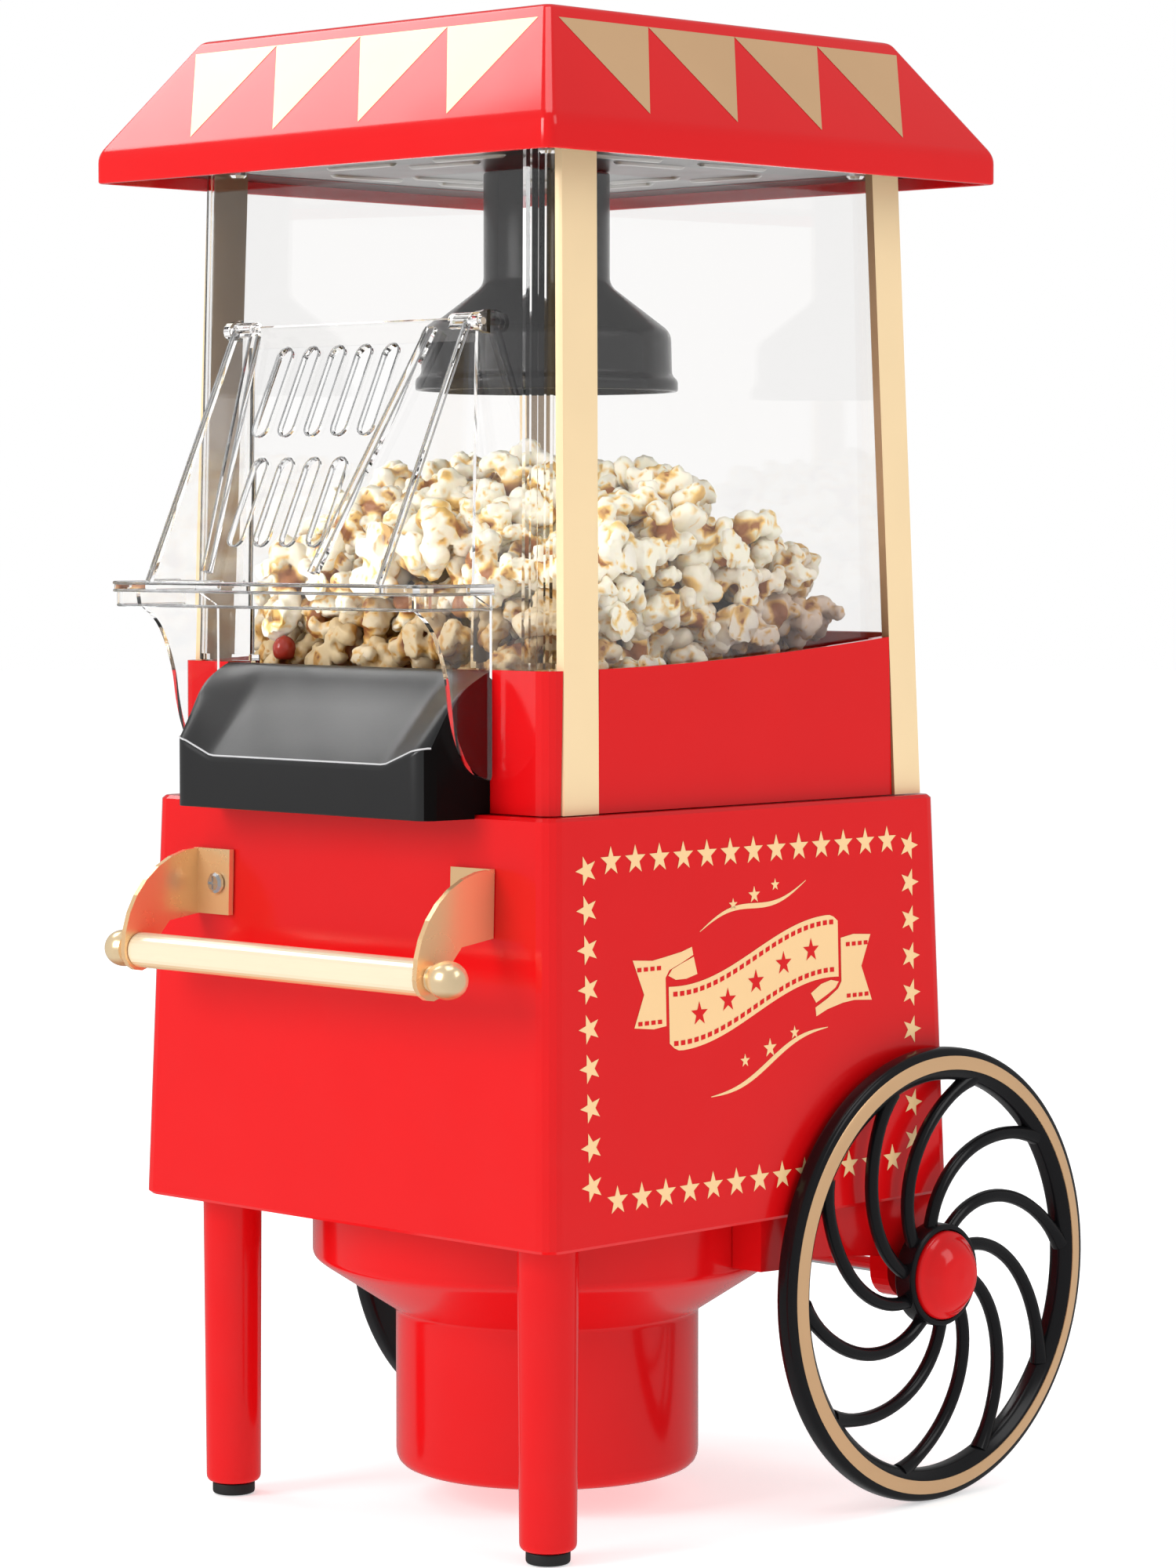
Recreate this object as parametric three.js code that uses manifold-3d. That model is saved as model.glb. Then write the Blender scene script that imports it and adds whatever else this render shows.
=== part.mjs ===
// Tabletop hot-air popcorn maker built like a small fairground cart.
// Millimetres, +Z up. Front (chute and push handle) faces -Y, wheels turn about X.
// Machine frame: the body's centre line is X = 0, Y = 0 and the floor is Z = 0.
// The exported group shifts that frame so the origin is the middle of the footprint.
import * as THREE from 'three';
import { mergeVertices } from 'three/addons/utils/BufferGeometryUtils.js';
import Module from 'manifold-3d';

const wasm = await Module();
wasm.setup();

// ---------------------------------------------------------------- driving dimensions
const GAP = 0.3; // clearance left between neighbouring pieces
const WALL = 2.4; // moulded wall thickness of the red housings
const HEIGHT = 505; // floor to the top of the roof

const BASE = { bottomZ: 105.8, topZ: 245.2, bottomHalf: 100.3, topHalf: 96.4, corner: 6 };
const BASE_PLATE = { thick: 2.4, half: 97.3, corner: 4, ductHole: 50.2, screwHole: 1.8 };
const PLATE_Z = BASE.bottomZ + GAP; // underside of the base plate
const PLATE_TOP_Z = PLATE_Z + BASE_PLATE.thick;
const BOSS = { radius: 4.6, bore: 1.7, boreDepth: 14, bottomZ: 109, topZ: 134, web: 15, webHalf: 1.2 };
const BOSSES = [[84, -40], [-84, -40], [84, 58], [-84, 58]]; // the rear two carry the axle carrier as well
const TUB = {
  half: 90.4, wall: 2.2, corner: 6, floorZ: 247, floorThick: 2.2, frontZ: 292, rearZ: 301.5, hole: 43,
};
// Thick corners that hold the posts, with the y range of each end.
const TUB_PAD = { innerX: 85.7, outerX: 95, ends: [[-88.5, -64], [71, 88.5]] };
const FRONT_WALL_Z = 288.6; // tub front wall between the corner blocks, under the chute lip
const SCREEN = {
  wall: 2, corner: 7, bottomZ: 249.6, topZ: 460.2, bottomX: 85.4, topX: 82.5, bottomY: 87.9, topY: 86.5,
};
const SCREEN_FRONT = { z: 292.5, bottomY: 90.2, topY: 86.9 };
const DOORWAY = { half: 53.5, topZ: 398 };
const POST = { thick: 3.2, bottomX: 91.5, topX: 86, frontWidth: 16, rearWidth: 13.6 };
const POST_Y = { frontBottom: -76.5, frontTop: -71.9, rearBottom: 85.8, rearTop: 78.9 };
const ROOF = { half: 110.5, eaveZ: 456.3, fasciaTopZ: 467.9, plateauHalf: 85.2, corner: 4 };
const CEILING = { bottomZ: 460.5, thick: 2.2, half: 107.6 };
const ROOF_BOSS = { at: 75, radius: 4.6, bore: 1.7, boreDepth: 16 };
const BELL = {
  neck: 21.2, body: 42.8, lip: 44.8, shell: 1.8, cap: 2.6, boltHole: 2.4,
  neckZ: 421, shoulderZ: 404.5, lipZ: 389, bottomZ: 384.8,
};
const CHUTE = { frontHalf: 61.2, rearHalf: 64, frontY: -118.5, rearY: -88.5, bottomZ: 243.9, lipZ: 260.6 };
const CHUTE_EDGE = { frontZ: 266.2, topZ: 291.8, topY: -90, floorHalf: 42.5, shell: 2.2 };
const DOOR = { half: 56.5, shell: 2.2, topY: -93.6, topZ: 405.8, bottomY: -133.8, bottomZ: 319.4 };
const LEDGE = { half: 76.5, frontY: -134, rearY: -101.2, topZ: 319.6, plate: 3, lipZ: 311.8 };
const SKIRT = { inner: 65.6, outer: 67.6, steps: 28 };
const SLOT = { half: 3.6, pitch: 12.9, rows: [[5, 8.5, 41.5], [4, 49.5, 81.5]] }; // rows of [count, from, to]
const RIB = { topX: 43, bottomX: 26, half: 1.7, proud: 2, start: 4, end: 91.4 };
const HINGE = {
  y: -91.2, z: 404.6, barrel: 2.9, barrelInner: 48, pin: 1.2, bore: 1.5, pinInner: 50, pinOuter: 61.6,
  lug: 3.2, lugBack: 6.4, lugHalf: 4.5,
};
const HANDLE = {
  y: -125, z: 194.7, bar: 6, ball: 6.4, ballX: 79.6, plateX: 70.6, plate: 2,
  neck: 3, neckBore: 3.3, neckEnd: 66.6,
};
const TAB = { inner: 54.2, bottomZ: 205.8, topZ: 228.2, screwX: 60, screwZ: 216.6, screwHole: 1.9 };
const COVER = { collar: 82, cylinder: 53, bottomZ: 10.5, cylinderZ: 66, coneZ: 83.5, shell: 2.2 };
const INTAKE = { count: 12, inner: 16, outer: 44, half: 2.2 };
const LEG = { x: 77.6, y: -78, top: 10.2, bottom: 9.5, bottomZ: 4.2, bore: 3.3, screwDepth: 18 };
const FOOT = { radius: 7.4, stem: 3, stemTopZ: 14, topZ: 4 };
const CARRIER = { halfX: 95, frontY: 6.3, rearY: 97, collarHole: 82.5, topZ: 105.8, bottomZ: 86 };
const WHEEL = { radius: 79, y: 85, faceX: 109, spokeRadius: 2.5, spokes: 10, innerRim: 67.6 };
const AXLE = { radius: 2.5, bore: 2.58, halfLength: 110.2 };
const HUB = { ring: 17.8, barrel: 6.6, innerX: 92.6, ringX: 102, outerX: 110.2, recess: 6.5, recessX: 107.4 };
const SPIRAL = { turnPerMm: 1.17, firstEnd: 22, innerRadius: 13, outerRadius: 69.5, steps: 4 };
const HUB_CAP = { radius: 15.6, rim: 1.4, chamfer: 0.6, dome: 14.2, rise: 6.2, steps: 4 };
const LUG = { inner: 84, outer: 92, radius: 9.6 };
const CARRIER_SEAT = { z: 103.4, radius: 3.8 }; // where the rear plate screws bear on the axle carrier
const CUP = { radius: 44, shell: 1.2, bottomZ: 158, flange: 50, flangeZ: 245.6 };
const CUP_VENTS = { count: 12, half: 4.5, aboveFloor: 8, height: 4 };
const DUCT = { radius: 49.5, shell: 1.8, bottomZ: 69.5, topZ: 196, flange: 60, flangeThick: 2 };
const HEATER = { radius: 34, wave: 4.5, lobes: 9, z: 147.2, wire: 1.1 };
const MICA_RING = { inner: 24, bottomZ: 136, topZ: 138, finInner: 25, finOuter: 42, finTopZ: 145.5 };
const MOTOR = { radius: 17, bottomZ: 66, topZ: 99.6, shaft: 1.5, bore: 1.57 };
const FAN = { hub: 9, bore: 1.8, tip: 45, bottomZ: 42, height: 13, blades: 8, pitch: 35 };
const SWITCH = { x: 42, z: 190, halfX: 10.5, halfZ: 7.2, rim: 2.4 };
const ROCKER = { halfX: 7.4, reach: 5.4, tilt: 8, pivotIn: 2.2, axle: 1.3 };
const INLET = { x: -42, z: 130, radius: 5.4, flange: 8.2, bore: 3.6 };
const REAR_CUT = [90, 110]; // y range of the cutters through the rear wall
const FRONT_CUT = [-110, -90]; // and through the front wall
const PAST = 1; // how far a cutter runs past the face it opens
const SMALL_HOLE_SIDES = 10;

const RED = 0xd8202a;
const GOLD = 0xe9c98f;
const BRASS = 0xd9b36a;
const BLACK = 0x1d1d1f;
const CHARCOAL = 0x3a3a3c;
const CLEAR = 0xeef3f5;
const STEEL = 0xb9bcc0;
const ALUMINIUM = 0xc9ccd0;
const MICA = 0xb8a88a;

// ---------------------------------------------------------------- geometry helpers
const HALF_TURN = Math.PI;
const QUARTER = Math.PI / 2;
const radians = THREE.MathUtils.degToRad;

function flipped(triangles) {
  const out = new Uint32Array(triangles.length);
  for (let i = 0; i < triangles.length; i += 3) {
    out[i] = triangles[i];
    out[i + 1] = triangles[i + 2];
    out[i + 2] = triangles[i + 1];
  }
  return out;
}

// Closed geometry to a solid, with the faces pointing out.
function solid(geometry) {
  const bare = geometry.clone();
  bare.deleteAttribute('normal');
  bare.deleteAttribute('uv');
  const merged = mergeVertices(bare, 1e-4);
  const kept = [];
  const index = merged.index.array;
  for (let i = 0; i < index.length; i += 3) {
    const [a, b, c] = [index[i], index[i + 1], index[i + 2]];
    if (a !== b && b !== c && a !== c) kept.push(a, b, c);
  }
  const vertProperties = new Float32Array(merged.attributes.position.array);
  const triVerts = new Uint32Array(kept);
  const first = new wasm.Manifold(new wasm.Mesh({ numProp: 3, vertProperties, triVerts }));
  if (first.volume() > 0) return first;
  return new wasm.Manifold(new wasm.Mesh({ numProp: 3, vertProperties, triVerts: flipped(triVerts) }));
}

function toGeometry(body) {
  const mesh = body.getMesh();
  const geometry = new THREE.BufferGeometry();
  geometry.setAttribute('position', new THREE.BufferAttribute(new Float32Array(mesh.vertProperties), 3));
  geometry.setIndex(new THREE.BufferAttribute(new Uint32Array(mesh.triVerts), 1));
  geometry.computeVertexNormals();
  return geometry;
}

const join = (first, ...rest) => rest.reduce((sum, body) => sum.add(body), first);
const cut = (first, ...rest) => rest.reduce((left, body) => left.subtract(body), first);

// Rounded rectangle as a ring of points, counter-clockwise seen from +Z.
function ring(x0, x1, y0, y1, radius, steps = 4) {
  const [left, right] = [x0 + radius, x1 - radius];
  const [front, back] = [y0 + radius, y1 - radius];
  const centres = [[right, back], [left, back], [left, front], [right, front]];
  const points = [];
  centres.forEach(([cx, cy], quarter) => {
    for (let i = 0; i <= steps; i += 1) {
      const angle = (quarter + i / steps) * QUARTER;
      points.push([cx + radius * Math.cos(angle), cy + radius * Math.sin(angle)]);
    }
  });
  return points;
}

const squareRing = (half, radius, steps) => ring(-half, half, -half, half, radius, steps);

// Skin over rings of equal length stacked in Z, with flat ends.
function loft(sections) {
  const count = sections[0].points.length;
  const positions = [];
  const triangles = [];
  sections.forEach(({ z, points }) => points.forEach(([x, y]) => positions.push(x, y, z)));
  for (let level = 0; level + 1 < sections.length; level += 1) {
    for (let i = 0; i < count; i += 1) {
      const next = (i + 1) % count;
      const [a, b] = [level * count + i, level * count + next];
      triangles.push(a, b, b + count, a, b + count, a + count);
    }
  }
  [0, sections.length - 1].forEach((level) => {
    const { z, points } = sections[level];
    const centre = positions.length / 3;
    const mean = [0, 1].map((axis) => points.reduce((sum, point) => sum + point[axis], 0) / count);
    positions.push(mean[0], mean[1], z);
    for (let i = 0; i < count; i += 1) {
      const pair = [level * count + i, level * count + ((i + 1) % count)];
      if (level === 0) pair.reverse();
      triangles.push(centre, ...pair);
    }
  });
  const geometry = new THREE.BufferGeometry();
  geometry.setAttribute('position', new THREE.Float32BufferAttribute(positions, 3));
  geometry.setIndex(triangles);
  return solid(geometry);
}

function box(x0, x1, y0, y1, z0, z1) {
  const geometry = new THREE.BoxGeometry(x1 - x0, y1 - y0, z1 - z0);
  geometry.translate((x0 + x1) / 2, (y0 + y1) / 2, (z0 + z1) / 2);
  return solid(geometry);
}

// Turned body about Z from [radius, z] points that start and end on the axis or close on themselves.
function turned(profile, segments = 36) {
  const geometry = new THREE.LatheGeometry(profile.map(([r, z]) => new THREE.Vector2(r, z)), segments);
  geometry.rotateX(QUARTER);
  return solid(geometry);
}

const disc = (radius, z0, z1, segments = 36) => (
  turned([[0, z0], [radius, z0], [radius, z1], [0, z1]], segments)
);

function tube(inner, outer, z0, z1, segments = 36) {
  return turned([[inner, z0], [outer, z0], [outer, z1], [inner, z1], [inner, z0]], segments);
}

// Cylinder along X from x0 to x1, centred at (y, z).
function rodX(radius, x0, x1, y, z, segments = 24) {
  const geometry = new THREE.CylinderGeometry(radius, radius, x1 - x0, segments);
  geometry.rotateZ(QUARTER);
  geometry.translate((x0 + x1) / 2, y, z);
  return solid(geometry);
}

// Cylinder along Y from y0 to y1, centred at (x, z).
function rodY(radius, y0, y1, x, z, segments = 24) {
  const geometry = new THREE.CylinderGeometry(radius, radius, y1 - y0, segments);
  geometry.translate(x, (y0 + y1) / 2, z);
  return solid(geometry);
}

// Outline of [y, z] points pushed along X from x0 to x1.
function prismX(outline, x0, x1) {
  const shape = new THREE.Shape(outline.map(([y, z]) => new THREE.Vector2(y, z)));
  const geometry = new THREE.ExtrudeGeometry(shape, { depth: x1 - x0, bevelEnabled: false });
  const basis = new THREE.Matrix4();
  basis.makeBasis(new THREE.Vector3(0, 1, 0), new THREE.Vector3(0, 0, 1), new THREE.Vector3(1, 0, 0));
  geometry.applyMatrix4(basis);
  geometry.translate(x0, 0, 0);
  return solid(geometry);
}

function arc(cy, cz, radius, from, to, steps) {
  const points = [];
  for (let i = 0; i <= steps; i += 1) {
    const angle = radians(from + ((to - from) * i) / steps);
    points.push([cy + radius * Math.cos(angle), cz + radius * Math.sin(angle)]);
  }
  return points;
}

const ordered = (a, b) => [Math.min(a, b), Math.max(a, b)];
const mirrorX = (body) => body.mirror([1, 0, 0]);
const lerp = THREE.MathUtils.lerp;

// ---------------------------------------------------------------- scene graph helpers
const machine = new THREE.Group();
const sides = [['right', 1], ['left', -1]];

function add(name, body, color, look = {}, group = machine) {
  const material = new THREE.MeshStandardMaterial({ color, roughness: 0.35, metalness: 0, ...look });
  const mesh = new THREE.Mesh(body instanceof THREE.BufferGeometry ? body : toGeometry(body), material);
  mesh.name = name;
  group.add(mesh);
  return mesh;
}

const METAL = { roughness: 0.3, metalness: 0.9 };
const GLASSY = { roughness: 0.08, transparent: true, opacity: 0.3 };
const RUBBERY = { roughness: 0.8 };

// Small machine screw along Z: dished head below its shank, with a cross slot.
function screw(headRadius, headHeight, shankRadius, length) {
  const body = turned([
    [0, 0], [headRadius * 0.75, 0], [headRadius, headHeight * 0.45], [headRadius, headHeight],
    [shankRadius, headHeight], [shankRadius, headHeight + length], [0, headHeight + length],
  ], 10);
  const slot = { half: headRadius * 0.62, width: headRadius * 0.13, depth: headHeight * 0.5 };
  return cut(
    body,
    box(-slot.half, slot.half, -slot.width, slot.width, -1, slot.depth),
    box(-slot.width, slot.width, -slot.half, slot.half, -1, slot.depth),
  );
}

// ---------------------------------------------------------------- lower housing
// Cutter for a bracket screw's hole through the front wall.
const frontHole = (x) => rodY(TAB.screwHole, ...FRONT_CUT, x, TAB.screwZ, SMALL_HOLE_SIDES);

function baseBody() {
  const chamfer = 1.1;
  const { bottomZ, topZ, bottomHalf, topHalf, corner } = BASE;
  const outer = loft([
    { z: bottomZ, points: squareRing(bottomHalf - chamfer, corner) },
    { z: bottomZ + chamfer, points: squareRing(bottomHalf, corner) },
    { z: topZ - chamfer, points: squareRing(topHalf, corner) },
    { z: topZ, points: squareRing(topHalf - chamfer, corner - chamfer / 2) },
  ]);
  const inner = loft([
    { z: bottomZ - 1, points: squareRing(bottomHalf - WALL, corner - 1) },
    { z: topZ - WALL, points: squareRing(topHalf - WALL, corner - 1) },
  ]);
  const { radius, bore, boreDepth, web, webHalf } = BOSS;
  const bosses = BOSSES.map(([x, y]) => join(
    disc(radius, BOSS.bottomZ, BOSS.topZ, 12).translate([x, y, 0]),
    box(...ordered(x, x + Math.sign(x) * web), y - webHalf, y + webHalf, BOSS.bottomZ, BOSS.topZ),
  ));
  const boreZ = BOSS.bottomZ + boreDepth;
  const bossBores = BOSSES.map(([x, y]) => (
    disc(bore, BOSS.bottomZ - PAST, boreZ, SMALL_HOLE_SIDES).translate([x, y, 0])
  ));
  const shell = join(cut(outer, inner), ...bosses.map((boss) => boss.intersect(outer)));
  const { halfX, halfZ } = SWITCH;
  return cut(
    shell,
    disc(CUP.radius + 0.5, topZ - 5, topZ + PAST, 36),
    ...bossBores,
    ...sides.map(([, side]) => frontHole(side * TAB.screwX)),
    box(SWITCH.x - halfX, SWITCH.x + halfX, ...REAR_CUT, SWITCH.z - halfZ, SWITCH.z + halfZ),
    rodY(INLET.radius + GAP, ...REAR_CUT, INLET.x, INLET.z, 20),
  );
}

function basePlate() {
  const plate = loft([
    { z: PLATE_Z, points: squareRing(BASE_PLATE.half, BASE_PLATE.corner) },
    { z: PLATE_TOP_Z, points: squareRing(BASE_PLATE.half, BASE_PLATE.corner) },
  ]);
  const screwHole = (x, y) => (
    disc(BASE_PLATE.screwHole, PLATE_Z - PAST, PLATE_TOP_Z + PAST, SMALL_HOLE_SIDES).translate([x, y, 0])
  );
  return cut(
    plate,
    disc(BASE_PLATE.ductHole, PLATE_Z - PAST, PLATE_TOP_Z + PAST, 36),
    ...BOSSES.map(([x, y]) => screwHole(x, y)),
    ...sides.map(([, side]) => screwHole(side * LEG.x, LEG.y)),
  );
}

add('base_body', baseBody(), RED);
add('base_plate', basePlate(), RED);
BOSSES.forEach(([x, y], i) => {
  const plateScrew = add(`plate_screw_${i + 1}`, screw(3.2, 2.2, 1.4, 14), STEEL, METAL);
  const seatZ = y > 0 ? CARRIER_SEAT.z : PLATE_Z;
  plateScrew.position.set(x, y, seatZ - 2.2 - GAP);
});

// ---------------------------------------------------------------- hopper tub
// Height of the tub's side wall: level at the front, curving up to the rear.
function sideTop(y) {
  const along = THREE.MathUtils.clamp((y + TUB.half) / (2 * TUB.half), 0, 1);
  return TUB.frontZ + (TUB.rearZ - TUB.frontZ) * along ** 1.9;
}

// Strip-shaped space of one upright post, swollen by a margin.
function postSpace(side, front, margin, bottomZ, topZ) {
  const width = front ? POST.frontWidth : POST.rearWidth;
  const bottomY = front ? POST_Y.frontBottom : POST_Y.rearBottom;
  const topY = front ? POST_Y.frontTop : POST_Y.rearTop;
  const section = (z) => {
    const t = (z - BASE.topZ) / (SCREEN.topZ - BASE.topZ);
    const outer = lerp(POST.bottomX, POST.topX, t) + margin;
    const y = lerp(bottomY, topY, t);
    const inner = outer - POST.thick - 2 * margin;
    const [y0, y1] = [y - width / 2 - margin, y + width / 2 + margin];
    return { z, points: [[inner, y0], [outer, y0], [outer, y1], [inner, y1]] };
  };
  const body = loft([section(bottomZ), section(topZ)]);
  return side > 0 ? body : mirrorX(body);
}

const postPlaces = sides.flatMap(([sideName, side]) => [['front', true], ['rear', false]]
  .map(([endName, front]) => ({ name: `post_${endName}_${sideName}`, side, front })));

function tub() {
  const { half, wall, corner, floorZ, floorThick, rearZ, hole } = TUB;
  const bottomZ = BASE.topZ + GAP;
  const block = loft([
    { z: bottomZ, points: squareRing(half, corner) },
    { z: rearZ, points: squareRing(half, corner) },
  ]);
  const profile = [[-100, bottomZ - 1], [100, bottomZ - 1], [100, sideTop(100)]];
  for (let y = half; y >= -half; y -= half / 6) profile.push([y, sideTop(y)]);
  profile.push([-100, sideTop(-100)]);
  const shaped = block.intersect(prismX(profile, -100, 100));
  const inner = half - wall;
  const pads = sides.flatMap(([, side]) => TUB_PAD.ends.map(([y0, y1]) => (
    box(...ordered(side * TUB_PAD.innerX, side * TUB_PAD.outerX), y0, y1, bottomZ - PAST, rearZ + 2 * PAST)
  )));
  const hollow = cut(loft([
    { z: bottomZ - 1, points: squareRing(inner, corner - 1) },
    { z: rearZ + 2, points: squareRing(inner, corner - 1) },
  ]), ...pads);
  const floor = box(-86.5, 86.5, -inner - 1, inner + 1, floorZ, floorZ + floorThick);
  const gapHalf = CHUTE.rearHalf + 2 * GAP;
  const frontGap = box(-gapHalf, gapHalf, -half - PAST, -inner + PAST, FRONT_WALL_Z, rearZ + 2);
  const shell = join(cut(shaped, hollow), floor);
  return cut(
    shell,
    frontGap,
    disc(hole, floorZ - 1, floorZ + 4, 36),
    ...postPlaces.map(({ side, front }) => postSpace(side, front, 0.4, bottomZ - 2, rearZ + 2)),
  );
}

add('hopper_tub', tub(), RED);

postPlaces.forEach(({ name, side, front }) => {
  const post = postSpace(side, front, 0, BASE.topZ + GAP, SCREEN.topZ);
  add(name, post, GOLD, { roughness: 0.3, metalness: 0.4 });
});

// ---------------------------------------------------------------- clear screen around the popcorn
function screen() {
  const { wall, bottomZ, topZ, bottomX, topX, bottomY, topY } = SCREEN;
  const level = (z, inset) => {
    const t = (z - bottomZ) / (topZ - bottomZ);
    const x = lerp(bottomX, topX, t) - inset;
    const y = lerp(bottomY, topY, t) - inset;
    return { z, points: ring(-x, x, -y, y, SCREEN.corner - inset) };
  };
  const nose = (z, inset) => {
    const t = (z - SCREEN_FRONT.z) / (topZ - SCREEN_FRONT.z);
    const x = lerp(bottomX, topX, (z - bottomZ) / (topZ - bottomZ)) - inset;
    const frontY = inset - lerp(SCREEN_FRONT.bottomY, SCREEN_FRONT.topY, t);
    return { z, points: ring(-x, x, frontY, 0, SCREEN.corner - inset) };
  };
  const outer = join(
    loft([level(bottomZ, 0), level(topZ, 0)]),
    loft([nose(SCREEN_FRONT.z, 0), nose(topZ, 0)]),
  );
  const inner = join(
    loft([level(bottomZ - PAST, wall), level(topZ + PAST, wall)]),
    loft([nose(SCREEN_FRONT.z + wall, wall), nose(topZ + PAST, wall)]),
  );
  const lugs = sides.map(([, side]) => {
    const [x0, x1] = ordered(side * (HINGE.pinOuter - 3), side * HINGE.pinOuter);
    const rearY = HINGE.y + HINGE.lugBack;
    const back = [[rearY, HINGE.z - HINGE.lugHalf], [rearY, HINGE.z + HINGE.lugHalf]];
    return cut(
      prismX([...back, ...arc(HINGE.y, HINGE.z, HINGE.lug, 90, 270, 6)], x0, x1),
      rodX(HINGE.pin + 0.06, x0 - PAST, x1 + PAST, HINGE.y, HINGE.z, 12),
    );
  });
  const doorway = box(-DOORWAY.half, DOORWAY.half, -100, -70, SCREEN_FRONT.z - 1.5, DOORWAY.topZ);
  const throat = box(-DOORWAY.half, DOORWAY.half, -100, -70, FRONT_WALL_Z - 2, SCREEN_FRONT.z);
  return join(cut(outer, inner, doorway, throat), ...lugs.map((lug) => cut(lug, inner)));
}

add('clear_screen', screen(), CLEAR, GLASSY);

// ---------------------------------------------------------------- chute
function chute() {
  const { frontHalf, rearHalf, frontY, rearY, bottomZ, lipZ } = CHUTE;
  const { frontZ, topZ, topY, floorHalf, shell } = CHUTE_EDGE;
  const plan = (inset) => {
    const corner = 4 - inset / 2;
    const left = frontHalf - inset;
    const front = frontY + inset;
    const points = [];
    for (let i = 0; i <= 4; i += 1) {
      const angle = HALF_TURN + (i / 4) * QUARTER;
      points.push([-left + corner + corner * Math.cos(angle), front + corner + corner * Math.sin(angle)]);
    }
    points.slice().reverse().forEach(([x, y]) => points.push([-x, y]));
    points.push([rearHalf - inset, rearY + inset], [inset - rearHalf, rearY + inset]);
    return points;
  };
  // Everything above the slide: a wedge whose underside is the dished floor and its two side bands.
  const above = (drop) => {
    const overshoot = 1.2;
    const [far, skyZ] = [80, 330];
    const section = (y, floorZ, floorX, edgeX, edgeZ) => {
      const rise = (edgeZ - floorZ) / (edgeX - floorX);
      const farZ = floorZ + rise * (far - floorX) - drop;
      const points = [
        [-floorX, floorZ - drop], [floorX, floorZ - drop], [far, farZ], [far, skyZ], [-far, skyZ], [-far, farZ],
      ];
      return { z: y, points };
    };
    const slope = (topZ - 0.2 - lipZ) / (topY - frontY);
    const body = loft([
      section(frontY - overshoot, lipZ - overshoot * slope, floorHalf, frontHalf, frontZ - overshoot * 0.86),
      section(topY, topZ - 0.2, floorHalf - 2, rearHalf, topZ),
    ]);
    // The loft runs along its own Z; turn it so that runs along Y.
    return body.rotate([90, 0, 0]).mirror([0, 1, 0]);
  };
  const block = loft([{ z: bottomZ, points: plan(0) }, { z: topZ, points: plan(0) }]);
  const slide = above(0);
  const core = loft([{ z: bottomZ - PAST, points: plan(shell) }, { z: topZ - shell, points: plan(shell) }]);
  const hollow = cut(core, above(shell * 1.35));
  const seat = box(-80, 80, -TUB.half - GAP, rearY + 2, bottomZ - PAST, FRONT_WALL_Z + GAP);
  const step = box(-80, 80, -BASE.topHalf - 2 * GAP, rearY + 2, bottomZ - PAST, BASE.topZ + GAP);
  return cut(block, slide, hollow, seat, step);
}

add('chute', chute(), CHARCOAL, { roughness: 0.4 });

// ---------------------------------------------------------------- hinged hood over the chute
// Point [y, z] on the slanted face: s down the slope, out square to it.
function onFace(s, out) {
  const { topY, topZ, bottomY, bottomZ } = DOOR;
  const length = Math.hypot(bottomY - topY, bottomZ - topZ);
  const [downY, downZ] = [(bottomY - topY) / length, (bottomZ - topZ) / length];
  return [topY + downY * s + downZ * out, topZ + downZ * s - downY * out];
}

const faceLength = Math.hypot(DOOR.bottomY - DOOR.topY, DOOR.bottomZ - DOOR.topZ);

// Round-ended slot cutters through the slanted face, one row.
function slotRow(count, from, to) {
  const { half, pitch } = SLOT;
  const [start, end] = [from + half, to - half];
  const outline = [onFace(start, 5), onFace(end, 5), onFace(end, -6), onFace(start, -6)];
  const [originY, originZ] = onFace(0, 0);
  const [outY, outZ] = onFace(0, 1);
  const square = new THREE.Vector3(0, outY - originY, outZ - originZ);
  const turn = new THREE.Quaternion().setFromUnitVectors(new THREE.Vector3(0, 1, 0), square);
  return Array.from({ length: count }, (_, i) => {
    const x = (i - (count - 1) / 2) * pitch;
    const ends = [start, end].map((s) => {
      const geometry = new THREE.CylinderGeometry(half, half, 10, 16);
      geometry.applyQuaternion(turn);
      geometry.translate(x, ...onFace(s, 0));
      return solid(geometry);
    });
    return join(prismX(outline, x - half, x + half), ...ends);
  });
}

function rib(side) {
  const end = (s, x) => [[-0.6, -1], [-0.6, 1], [RIB.proud, 1], [RIB.proud, -1]]
    .map(([out, across]) => [x + across * RIB.half, ...onFace(s, out)]);
  return hexahedron(end(RIB.start, side * RIB.topX), end(RIB.end, side * RIB.bottomX));
}

function ledge() {
  const { half, frontY, rearY, topZ, plate, lipZ } = LEDGE;
  const plan = (inset) => ring(inset - half, half - inset, frontY + inset, -80, 6 - inset);
  const slab = (inset, z0, z1) => loft([{ z: z0, points: plan(inset) }, { z: z1, points: plan(inset) }]);
  const openHalf = DOOR.half - DOOR.shell - 0.8;
  const opening = box(-openHalf, openHalf, frontY + 4.2, rearY + 5, lipZ, topZ + 2);
  const top = cut(slab(0, topZ - plate, topZ), opening);
  const lip = cut(slab(0.9, lipZ, topZ - 1), slab(2.9, lipZ - 1, topZ));
  return join(top, lip).intersect(box(-half - 5, half + 5, frontY - 5, rearY, lipZ - 5, topZ + 5));
}

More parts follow.
